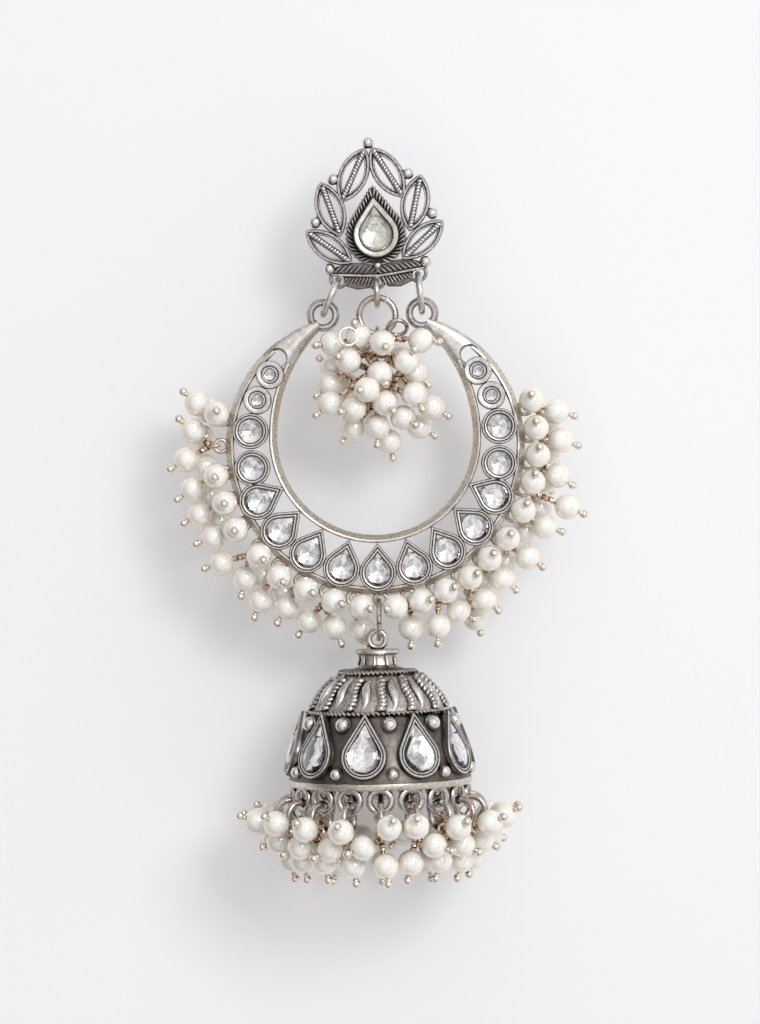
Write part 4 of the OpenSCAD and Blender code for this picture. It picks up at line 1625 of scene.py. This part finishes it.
@dataclass
class Rings:
    """Jump rings, the centre link and ring, and the bell's link."""

    stud: Stud
    crescent: Crescent
    wire_r: float = 0.4
    jump_r: float = 2.3
    hang: float = 11.5
    side_eye: tuple[float, float] = (4.75, -5.75)
    centre_eye: tuple[float, float] = (-0.3, -6.25)
    centre_at: tuple[float, float] = (0.33, -10.5)
    centre_r: float = 2.175

    def standing(self, name: str, top: Vector, low: Vector, radius: float, wire_r: float,
                 finish: MetalFinish) -> bpy.types.Object:
        """Bends a ring that stands on edge with its seam at the back.

        Args:
            name: Name of the ring.
            top: Upper end.
            low: Lower end.
            radius: Mean radius.
            wire_r: Radius of its wire.
            finish: Its finish.

        Returns:
            The ring.
        """
        loop = dressed(open_ring(name, radius, wire_r, start=-88, sweep=356, steps=44, sides=3), finish)
        return moved(loop, Matrix.Translation((top + low) / 2) @ turn(heading(low - top)) @ turn(90, "X"))

    def build(self) -> None:
        """Builds and dresses the rings."""
        for side, name in ((-1, "left"), (1, "right")):
            top = turn(self.stud.turned) @ Vector((side * self.side_eye[0], self.side_eye[1], self.hang))
            low = self.crescent.place @ Vector((side * self.crescent.eye_at[0], self.crescent.eye_at[1], 0))
            loop = self.standing(f"jump_wire_{name}", top, low, self.jump_r, self.wire_r, BRIGHT_SILVER)
            settled(loop, "silver", f"jump_ring_{name}")
        centre = Vector((*self.centre_at, self.hang))
        top = turn(self.stud.turned) @ Vector((*self.centre_eye, self.hang)) + Vector((0, 0.1, 0))
        low = centre + Vector((0, self.centre_r - 2 * self.wire_r - 0.12, 0))
        link = self.standing("centre_wire", top, low, (low - top).length / 2, self.wire_r, SILVER)
        settled(link, "silver", "centre_link")
        loop = open_ring("cluster_ring", self.centre_r, self.wire_r, start=62, sweep=356, steps=48, sides=3)
        dressed(loop, RING_SILVER)
        settled(moved(loop, Matrix.Translation(centre)), "silver", "centre_ring")


@dataclass
class Cluster:
    """Short chain inside the crescent, its pins and its pearls."""

    rings: Rings
    beads: BeadWork
    chain_r: float = 1.3
    chain_wire: float = 0.25
    count: int = 5
    gap: float = 0.12
    # Pearls: number of the link, its side, and the pearl's place from the first link.
    chart: tuple = (
        (0, -1, -5.4, -0.7, 1.6), (0, 1, 0.6, -0.8, 4.6), (0, 1, 5.2, -0.4, 1.9), (1, -1, -2.2, 0.1, 2.6),
        (1, -1, 0.3, -4.4, 3.7), (1, -1, -5.7, -5.5, 0.2), (1, -1, -3.1, -1.7, -3.8),
        (1, -1, 2.6, -2.1, -2.6),
        (1, 1, 4.5, -4.2, -0.2), (1, 1, 4.4, -6.9, 3.0), (1, 1, 1.3, -6.4, -2.3), (2, -1, -3.4, -2.9, 3.5),
        (2, -1, -3.5, -5.6, -4.1), (2, -1, 3.3, -5.0, -5.1), (2, 1, -5.6, -8.0, 2.5),
        (3, -1, -5.4, -3.4, -2.3),
        (3, -1, 0.9, -7.9, 3.7), (3, -1, -2.7, -7.6, 1.0), (3, 1, 3.5, -3.0, 3.7), (3, 1, -1.2, -6.4, 6.0),
        (3, 1, 6.6, -8.4, 0.5), (4, -1, 3.1, -9.6, 1.6), (4, -1, 5.1, -10.6, -2.0), (4, -1, -0.3, -8.4, -4.9),
        (4, 1, -2.8, -8.6, 4.2), (4, 1, 0.0, -10.7, 2.0), (4, 1, -2.9, -10.8, -0.7), (4, 1, 1.4, -12.4, -0.8),
    )
    stem: tuple = ((-2.6, -14.1, 15.5), (-1.9, -14.6, 14.6), (-0.9, -14.9, 12.9), (0.0, -15.0, 12.1))

    @property
    def loop_r(self) -> float:
        """Mean radius of the pin loops."""
        return self.chain_wire + self.gap + self.beads.loop_wire

    def link_at(self, number: int) -> Vector:
        """Gives the centre of a chain link.

        Args:
            number: Number of the link, from the ring down.

        Returns:
            Its centre.
        """
        rings = self.rings
        top = (rings.centre_at[1] - rings.centre_r + rings.wire_r + self.gap + self.chain_wire - self.chain_r)
        step = 2 * self.chain_r - 2 * self.chain_wire - self.gap
        return Vector((rings.centre_at[0], top - number * step, rings.hang))

    def side_at(self, number: int, side: int) -> Vector:
        """Gives the side of a link that carries a loop."""
        return Vector((0, 0, side * self.chain_r)) if number % 2 == 0 else Vector((side * self.chain_r, 0, 0))

    def side_ring(self) -> bpy.types.Object:
        """Models the small slanting ring at the cluster's upper right and the empty loop at its left.

        Returns:
            The ring and the loop, with its stem.
        """
        small = open_ring("small", radius=1.15, wire_radius=0.26, start=40, sweep=354, steps=30, sides=2)
        dressed(small, RING_SILVER)
        moved(small, shift(2.75, -12.0, 12.2) @ turn(-28) @ turn(38, "X") @ turn(20, "Y"))
        hoop = open_ring("hoop", radius=1.06, wire_radius=0.15, start=250, sweep=352, steps=30, sides=1)
        dressed(hoop, HEAD_SILVER)
        moved(hoop, shift(-3.1, -13.2, 15.6) @ turn(8, "Y"))
        stem = dressed(wire("stem", [Vector(point) for point in self.stem], radius=0.15), PIN_WIRE)
        return joined([small, hoop, stem], "cluster_loops")

    def build(self) -> None:
        """Builds and dresses the cluster."""
        link = Dressing.on(ring("link", self.chain_r, self.chain_wire, sides=10, steps=28), RING_SILVER)
        places = [Matrix.Translation(self.link_at(j)) @ turn(90 if j % 2 == 0 else 0, "Y")
                  for j in range(self.count)]
        settled(repeated(link, places, "cluster_chain"), "silver", "cluster_links")
        loops = [Matrix.Translation(self.link_at(j) + self.side_at(j, side)) @ turn(90, "X")
                 for j in range(self.count) for side in (-1, 1)]
        sprays = []
        for number, side, x, y, z in self.chart:
            seat = self.link_at(0) + Vector((x, y, z))
            hold = self.link_at(number) + self.side_at(number, side)
            lead = seat - hold
            sprays.append(Spray(hold + Vector((lead.x, 0, lead.z)).normalized() * self.loop_r, seat))
        self.beads.pearls(sprays, "inner_pearls", "cluster_pearls")
        self.beads.pins(sprays, loops, self.loop_r, "inner_pins", "cluster_pins")
        settled(self.side_ring(), "silver")


# Bell


@dataclass
class Bell:
    """Hollow bell drop in its own frame: Z up the neck, nought at the neck's top."""

    place: Matrix = field(
        default_factory=lambda: shift(0.36, -50.5, 12.85) @ turn(1.2) @ turn(-90, "X") @ turn(180))
    rim_r: float = 10.9
    shoulder_r: float = 8.17
    crown_r: float = 4.4
    wall: float = 0.8
    crown_low: float = 2.8
    shoulder_low: float = 7.4
    rim_low: float = 15.3
    low: float = 16.15
    twist: float = 0.38
    pears: int = 10
    pear_from: float = 80.0
    pear_low: float = 12.28
    pear_lean: float = 16.0
    pear_rise: float = 0.5
    pear_shape: StoneShape = StoneShape(2.1, 4.15)
    rings: int = 18
    eyelet_at: tuple[float, float] = (10.5, -17.35)
    eyelet_r: float = 1.3
    relief_count: int = 13
    relief_swing: float = 8.0
    relief_steps: int = 24
    relief_span: tuple[float, float] = (7.0, 3.35)
    neck_ribs: int = 9
    # A row of granules: size, depth and distance from the wall.
    granule_rows: tuple = ((0.925, 8.6, 0.25), (0.7, 14.2, 0.2))
    neck_profile: tuple = ((0, 0), (2.45, 0), (2.68, -0.12), (2.7, -0.42), (2.5, -0.6), (2.1, -0.7),
                           (2.02, -1.2), (2.15, -1.8), (2.5, -2.15), (3.6, -2.5))

    def radius_at(self, low: float) -> float:
        """Gives the bell's outer radius at a depth below the neck.

        Args:
            low: The depth.

        Returns:
            The radius.
        """
        if low < self.shoulder_low:
            start, end, bulge = self.crown_r, self.shoulder_r, 0.45
            top, bottom = self.crown_low, self.shoulder_low
        else:
            start, end, bulge = self.shoulder_r, self.rim_r, 0.5
            top, bottom = self.shoulder_low, self.rim_low
        t = min(1.0, max(0.0, (low - top) / (bottom - top)))
        return start + (end - start) * t + bulge * 4 * t * (1 - t)

    def shell(self) -> list[bpy.types.Object]:
        """Models the hollow shell with its neck, plain band and inner wall.

        Returns:
            The shell alone.
        """
        depths = [self.crown_low + (self.rim_low - self.crown_low) * i / 26 for i in range(27)]
        outside = [(self.radius_at(d), -d) for d in depths]
        inside = [(self.radius_at(d) - self.wall, -d - self.wall) for d in reversed(depths[:-2])]
        lip = [(10.98, -15.36), (11.0, -15.5), (10.96, -16.0), (10.85, -self.low), (10.15, -self.low),
               (10.08, -15.9)]
        profile = [*self.neck_profile, *outside, *lip, *inside, (0, -self.crown_low - self.wall)]
        body = turned_body("shell", profile, steps=96)
        Dressing.on(body, DARK_SILVER_AND_PAINTED_SHADE, FIELD_SILVER, WARM_SILVER_AND_PAINTED_SHADE)
        for face in body.data.polygons:
            depth, away = -face.center.z, math.hypot(face.center.x, face.center.y)
            outer = away > self.radius_at(depth) - 0.4
            if depth < 2.3 or (outer and depth > 15.32):
                face.material_index = 2
            elif outer and depth < self.shoulder_low:
                face.material_index = 1
        return [shaded(body, Shading.CRISP)]

    def twists(self) -> list[bpy.types.Object]:
        """Models the two twisted rings.

        Returns:
            The crown's ring and the shoulder's.
        """
        parts = []
        rows = ((self.crown_r, self.crown_low, 26, 260), (self.shoulder_r, self.shoulder_low, 44, 420))
        for radius, low, turns, count in rows:
            path = [polar(radius + 0.05, 360 * i / count, -low) for i in range(count)]
            twist = rope("twist", path, [UP] * count, self.twist, turns, closed=True)
            parts.append(Dressing.on(twist, SILVER))
        return parts

    def relief_line(self, start: float, swing: float, rise: float) -> Points:
        """Draws an S line up the upper dome.

        Args:
            start: Angle of its foot.
            swing: Degrees that it swings on its way up.
            rise: Height above the dome.

        Returns:
            Its points, from the foot.
        """
        line = []
        foot, head = self.relief_span
        for i in range(self.relief_steps + 1):
            share = i / self.relief_steps
            low = foot + (head - foot) * share
            angle = start + swing * (share - 0.5) - 2.6 * math.sin(math.tau * (share - 0.5) * 0.85)
            line.append(polar(self.radius_at(low) + rise, angle, -low))
        return line

    def reliefs(self) -> list[bpy.types.Object]:
        """Models the S leaves and the twisted strips between them, and repeats them round the dome.

        Returns:
            All the reliefs as one piece.
        """
        count, last, swing = self.relief_count, self.relief_steps, self.relief_swing
        widths = [0.28 + 0.72 * math.sin(math.pi * (i / last) ** 1.15) for i in range(last + 1)]
        leaf_line = self.relief_line(11.9, swing, rise=-0.18)
        leaf = dressed(wire("leaf", leaf_line, radius=0.68, sides=2, widths=widths), BRIGHT_SILVER)
        strip = self.relief_line(0, swing, rise=0.05)
        fine = [strip[i // 3].lerp(strip[min(last, i // 3 + 1)], (i % 3) / 3) for i in range(3 * last + 1)]
        ups = [Vector((p.x, p.y, 3)).normalized() for p in fine]
        cord = Dressing.on(rope("cord", fine, ups, radius=0.6, turns=4.2), SILVER)
        unit = joined([leaf, cord], "unit")
        return [repeated(unit, [turn(360 * i / count + 93.5) for i in range(count)], "reliefs")]

    def seat(self, number: int) -> Matrix:
        """Gives the seat of a pear stone."""
        angle = self.pear_from + number * 360 / self.pears
        return (turn(angle) @ shift(self.radius_at(self.pear_low), 0, -self.pear_low)
                @ turn(-self.pear_lean, "Y") @ turn(90) @ turn(90, "X"))

    def settings(self) -> list[bpy.types.Object]:
        """Models the bezels of the ten stones."""
        cup = bezel("cup", self.pear_shape, floor=-0.4, base=-0.75, top=self.pear_rise, wall=0.5, lap=0.12)
        return [repeated(cup, [self.seat(i) for i in range(self.pears)], "cups")]

    def granules(self) -> list[bpy.types.Object]:
        """Models the balls between the stones, each in a small ring.

        Returns:
            The upper row and the lower one.
        """
        parts = []
        for size, low, out in self.granule_rows:
            grain = Dressing.on(ball("grain", size), GRAIN_SILVER)
            hoop = ring("hoop", size * 0.98, wire_radius=0.13, sides=6, steps=24)
            Dressing.on(moved(hoop, shift(0, 0, -size * 0.28)), SILVER)
            places = [turn(self.pear_from + (i + 0.5) * 360 / self.pears)
                      @ shift(self.radius_at(low) + out, 0, -low) @ turn(90, "Y") for i in range(self.pears)]
            parts.append(repeated(joined([grain, hoop], "grain"), places, "grains"))
        return parts

    def neck(self) -> list[bpy.types.Object]:
        """Models the neck's upright ribs and the loop on its top.

        Returns:
            The ribs and the loop.
        """
        line = [Vector((2.1, 0, -0.65)), Vector((2.16, 0, -1.2)), Vector((2.3, 0, -1.9))]
        rib = dressed(wire("rib", line, radius=0.2), SILVER)
        loop = ring("loop", radius=1.0, wire_radius=0.35, sides=12, steps=32)
        Dressing.on(moved(loop, shift(0, 0, 1.15) @ turn(90, "X")), SILVER)
        places = [turn(360 * i / self.neck_ribs) for i in range(self.neck_ribs)]
        return [repeated(rib, places, "ribs"), loop]

    def eyelets(self) -> list[bpy.types.Object]:
        """Models the thick eyelets under the rim.

        Returns:
            The eyelets as one piece.
        """
        loop = ring("eyelet", self.eyelet_r, wire_radius=0.38, sides=12, steps=32, squeeze=0.9)
        Dressing.on(loop, SILVER)
        places = [turn(self.ring_angle(i)) @ shift(self.eyelet_at[0], 0, self.eyelet_at[1]) @ turn(90, "Y")
                  for i in range(self.rings)]
        return [repeated(loop, places, "eyelets")]

    def ring_angle(self, number: int) -> float:
        """Gives the angle of a ring of the fringe."""
        return 10 + number * 360 / self.rings

    def build(self) -> None:
        """Builds and dresses the bell and its stones."""
        gem = cut_gem("gem", self.pear_shape, low=0.06, girdle=0.24, high=0.68, glass=CLEAR_GLASS,
                      foil=CLEAR_FOIL)
        for number in range(self.pears):
            set_stone(gem, self.place @ self.seat(number), "bell", number + 1)
        bpy.data.objects.remove(gem)
        parts = [*self.shell(), *self.twists(), *self.reliefs(), *self.settings(), *self.granules(),
                 *self.neck(), *self.eyelets()]
        settled(moved(joined(parts, "bell_silver"), self.place), "dark_silver", "bell")


@dataclass
class Fringe:
    """Rings, pins and pearls under the bell."""

    bell: Bell
    beads: BeadWork
    ring_r: float = 1.7
    ring_wire: float = 0.4
    flare: float = 14.0
    hang: float = 0.4
    height: float = 12.85
    lift_turns: int = 5

    def lean(self, angle: float) -> Vector:
        """Gives the way that a ring hangs, outward and up, at an angle round the bell."""
        if math.sin(math.radians(angle)) < -0.97:
            return Vector((0, -1))
        return Vector((math.sin(math.radians(self.flare)), -math.cos(math.radians(self.flare))))

    @property
    def loop_r(self) -> float:
        """Mean radius of the pin loops."""
        return self.ring_wire + self.beads.gap + self.beads.loop_wire

    def ring_low(self, angle: float) -> Vector:
        """Gives the lowest point of a ring's middle line as distance and height."""
        x, z = self.bell.eyelet_at
        return Vector((x, z - self.hang)) + self.lean(angle) * 2 * self.ring_r

    def chart(self, number: int) -> list[tuple[float, float, float]]:
        """Gives the seats of a ring's pearls as turn, distance from the axis and depth.

        Args:
            number: Number of the ring.

        Returns:
            Turn, distance and depth of each seat.
        """
        angle = self.bell.ring_angle(number)
        sine, cosine = math.sin(math.radians(angle)), math.cos(math.radians(angle))
        side = -1 if cosine < -0.01 else 1
        under, low_side, upright = sine < -0.9, sine < -0.7, abs(cosine) < 0.01

        def sway(i: int) -> float:
            """Gives an uneven value between minus one and one."""
            return math.sin(math.radians(i * 97))

        seats = []
        if low_side and not under:
            seats.append((7.8 * side, 16.7, 21.8))
        elif not under:
            seats.append(((3 + sway(number)) * side, 14.9 + 0.3 * sway(number + 1),
                          20.2 + 0.3 * sway(number + 2)))
        if not (under and upright):
            swing = -8.2 if under else -9.5 if upright else -8
            away, depth = (12.6, 23.4) if under else (12.9, 22.6)
            seats.append((swing * side, away + 0.2 * sway(number), depth + 0.2 * sway(number + 2)))
        if upright:
            seats.append((0, 11.0, 26.9) if under else (2, 12.4, 24.7))
        else:
            swing = 9.5 if under else 4 if low_side else 2
            away = 10.8 if low_side and not under else 11.0
            seats.append((swing * side, away, (26.6 if under else 24.7) + 0.2 * sway(number + 1)))
        return seats

    def spray(self, angle: float, seat: tuple[float, float, float]) -> Spray:
        """Works out a pin, which lies on the surface where it would reach below it.

        Args:
            angle: Angle of its ring.
            seat: Turn, distance and depth of its pearl.

        Returns:
            The pin.
        """
        beads = self.beads
        low = self.ring_low(angle) + self.lean(angle) * self.loop_r
        start = polar(low.x, angle, low.y)
        end = polar(seat[1], angle + seat[0], -seat[2])
        head_lie = beads.head_r + beads.gap / 2 - self.height
        for _ in range(self.lift_turns):
            more = (beads.pearl_r + beads.gap + beads.head_r) / (end - start).length
            end.y = max(end.y, beads.pearl_r - self.height, (head_lie + more * start.y) / (1 + more))
        return Spray(self.bell.place @ start, self.bell.place @ end)

    def build(self) -> None:
        """Builds and dresses the fringe."""
        loops, rings, sprays = [], [], []
        x, z = self.bell.eyelet_at
        for number in range(self.bell.rings):
            angle = self.bell.ring_angle(number)
            lean, low = self.lean(angle), self.ring_low(angle)
            out = shift(x + lean.x * self.ring_r, 0, z - self.hang + lean.y * self.ring_r)
            rings.append(self.bell.place @ turn(angle) @ out @ turn(90, "X"))
            tilt = 90 - math.degrees(math.atan2(lean.x, -lean.y))
            loops.append(self.bell.place @ turn(angle) @ shift(low.x, 0, low.y) @ turn(tilt, "Y"))
            sprays += [self.spray(angle, seat) for seat in self.chart(number)]
        master = open_ring("hoop", self.ring_r, self.ring_wire, start=195, sweep=356, steps=36, sides=2)
        dressed(master, RING_SILVER)
        settled(repeated(master, rings, "fringe_wire"), "dark_silver", "fringe_rings")
        self.beads.pearls(sprays, "fringe_beads", "fringe_pearls")
        self.beads.pins(sprays, loops, self.loop_r, "fringe_sprays", "fringe_pins")
        self.hold()

    def hold(self) -> None:
        """Builds the link between the crescent and the bell."""
        low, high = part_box("bell_link")
        middle = (low + high) / 2 / MM
        radius = (high.y - low.y) / 2 / MM - 0.3
        loop = open_ring("bell_wire", radius, wire_radius=0.3, start=100, sweep=354, steps=32, sides=2)
        dressed(loop, RING_SILVER)
        settled(moved(loop, Matrix.Translation(middle) @ turn(90) @ turn(90, "X")), "silver", "bell_link")


# Studio


@dataclass
class Studio:
    """Pale floor, soft light and a camera that looks straight down."""

    centre: tuple[float, float] = (0.66, -34.1)
    field_height: float = 122.9
    focus_height: float = 12.0
    distance: float = 395.0
    sensor: float = 24.0
    board_size: float = 6.0
    board_low: float = -0.0002
    lamp_at: Colour = (0.24, 0.18, 0.54)
    lamp_size: float = 0.21
    lamp_power: float = 1.5
    lamp_tint: Colour = (0.97, 0.99, 1.0)
    surround_lean: Colour = (0.36, 0.2, 0.7)
    surround_dark: Colour = (0.42, 0.40, 0.40)
    surround_pale: Colour = (1.0, 0.97, 0.96)

    def floor(self) -> None:
        """Lays the pale board."""
        deselect()
        bpy.ops.mesh.primitive_plane_add(size=self.board_size, location=(0, -0.03, self.board_low))
        board = bpy.context.active_object
        board.name = "board"
        Dressing.on(board, PaperFinish())

    def softbox(self) -> None:
        """Hangs a soft light at the upper right that faces the earring."""
        deselect()
        bpy.ops.object.light_add(type="AREA", location=self.lamp_at)
        lamp = bpy.context.active_object
        lamp.name = "main_light"
        lamp.data.size = self.lamp_size
        lamp.data.energy = self.lamp_power
        lamp.data.color = self.lamp_tint
        aim = Vector((0.0, -0.034, 0.0)) - Vector(self.lamp_at)
        lamp.rotation_euler = aim.to_track_quat("-Z", "Y").to_euler()

    def surround(self) -> None:
        """Puts a pale, patchy surround about the scene, brighter on the light's side."""
        world = bpy.data.worlds.new("surround")
        world.use_nodes = True
        nodes, links = world.node_tree.nodes, world.node_tree.links
        way = nodes.new("ShaderNodeTexCoord").outputs["Generated"]
        patches = nodes.new("ShaderNodeTexNoise")
        lean = nodes.new("ShaderNodeVectorMath")
        lean.operation = "DOT_PRODUCT"
        lean.inputs[1].default_value = self.surround_lean
        level = nodes.new("ShaderNodeMapRange")
        values = ((patches, "Scale", 2.1), (patches, "Detail", 1.0), (level, "From Min", -0.2),
                  (level, "From Max", 0.75), (level, "To Min", 0.12), (level, "To Max", 1.3))
        for node, name, value in values:
            node.inputs[name].default_value = value
        tone = nodes.new("ShaderNodeValToRGB")
        stops = ((0.4, self.surround_dark), (0.56, self.surround_pale))
        for element, (place, colour) in zip(tone.color_ramp.elements, stops):
            element.position = place
            element.color = (*colour, 1)
        links.new(way, patches.inputs["Vector"])
        links.new(way, lean.inputs[0])
        links.new(patches.outputs["Fac"], tone.inputs["Fac"])
        links.new(lean.outputs["Value"], level.inputs["Value"])
        links.new(tone.outputs["Color"], nodes["Background"].inputs["Color"])
        links.new(level.outputs["Result"], nodes["Background"].inputs["Strength"])
        bpy.context.scene.world = world

    def camera(self) -> None:
        """Sets the camera over the earring."""
        deselect()
        x, y = (c * MM for c in self.centre)
        height = (self.focus_height + self.distance) * MM
        bpy.ops.object.camera_add(location=(x, y, height), rotation=(0, 0, 0))
        view = bpy.context.active_object
        view.name = "view_camera"
        view.data.sensor_fit = "VERTICAL"
        view.data.sensor_height = self.sensor
        view.data.lens = self.sensor * self.distance / self.field_height
        view.data.clip_start = 0.01
        bpy.context.scene.camera = view

    def build(self) -> None:
        """Builds the studio."""
        self.floor()
        self.softbox()
        self.surround()
        self.camera()
        bpy.context.scene.view_settings.view_transform = "Standard"


def main() -> None:
    """Builds every piece in order and reports it."""
    logging.basicConfig(level=logging.INFO, format="%(name)s %(message)s")
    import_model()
    deselect()
    beads = BeadWork()
    stud = Stud()
    crescent = Crescent()
    bell = Bell()
    rings = Rings(stud, crescent)
    stud.build()
    rings.build()
    crescent.build()
    PearlBorder(crescent, beads).build()
    Cluster(rings, beads).build()
    bell.build()
    Fringe(bell, beads).build()
    Studio().build()


if __name__ == "__main__":
    main()
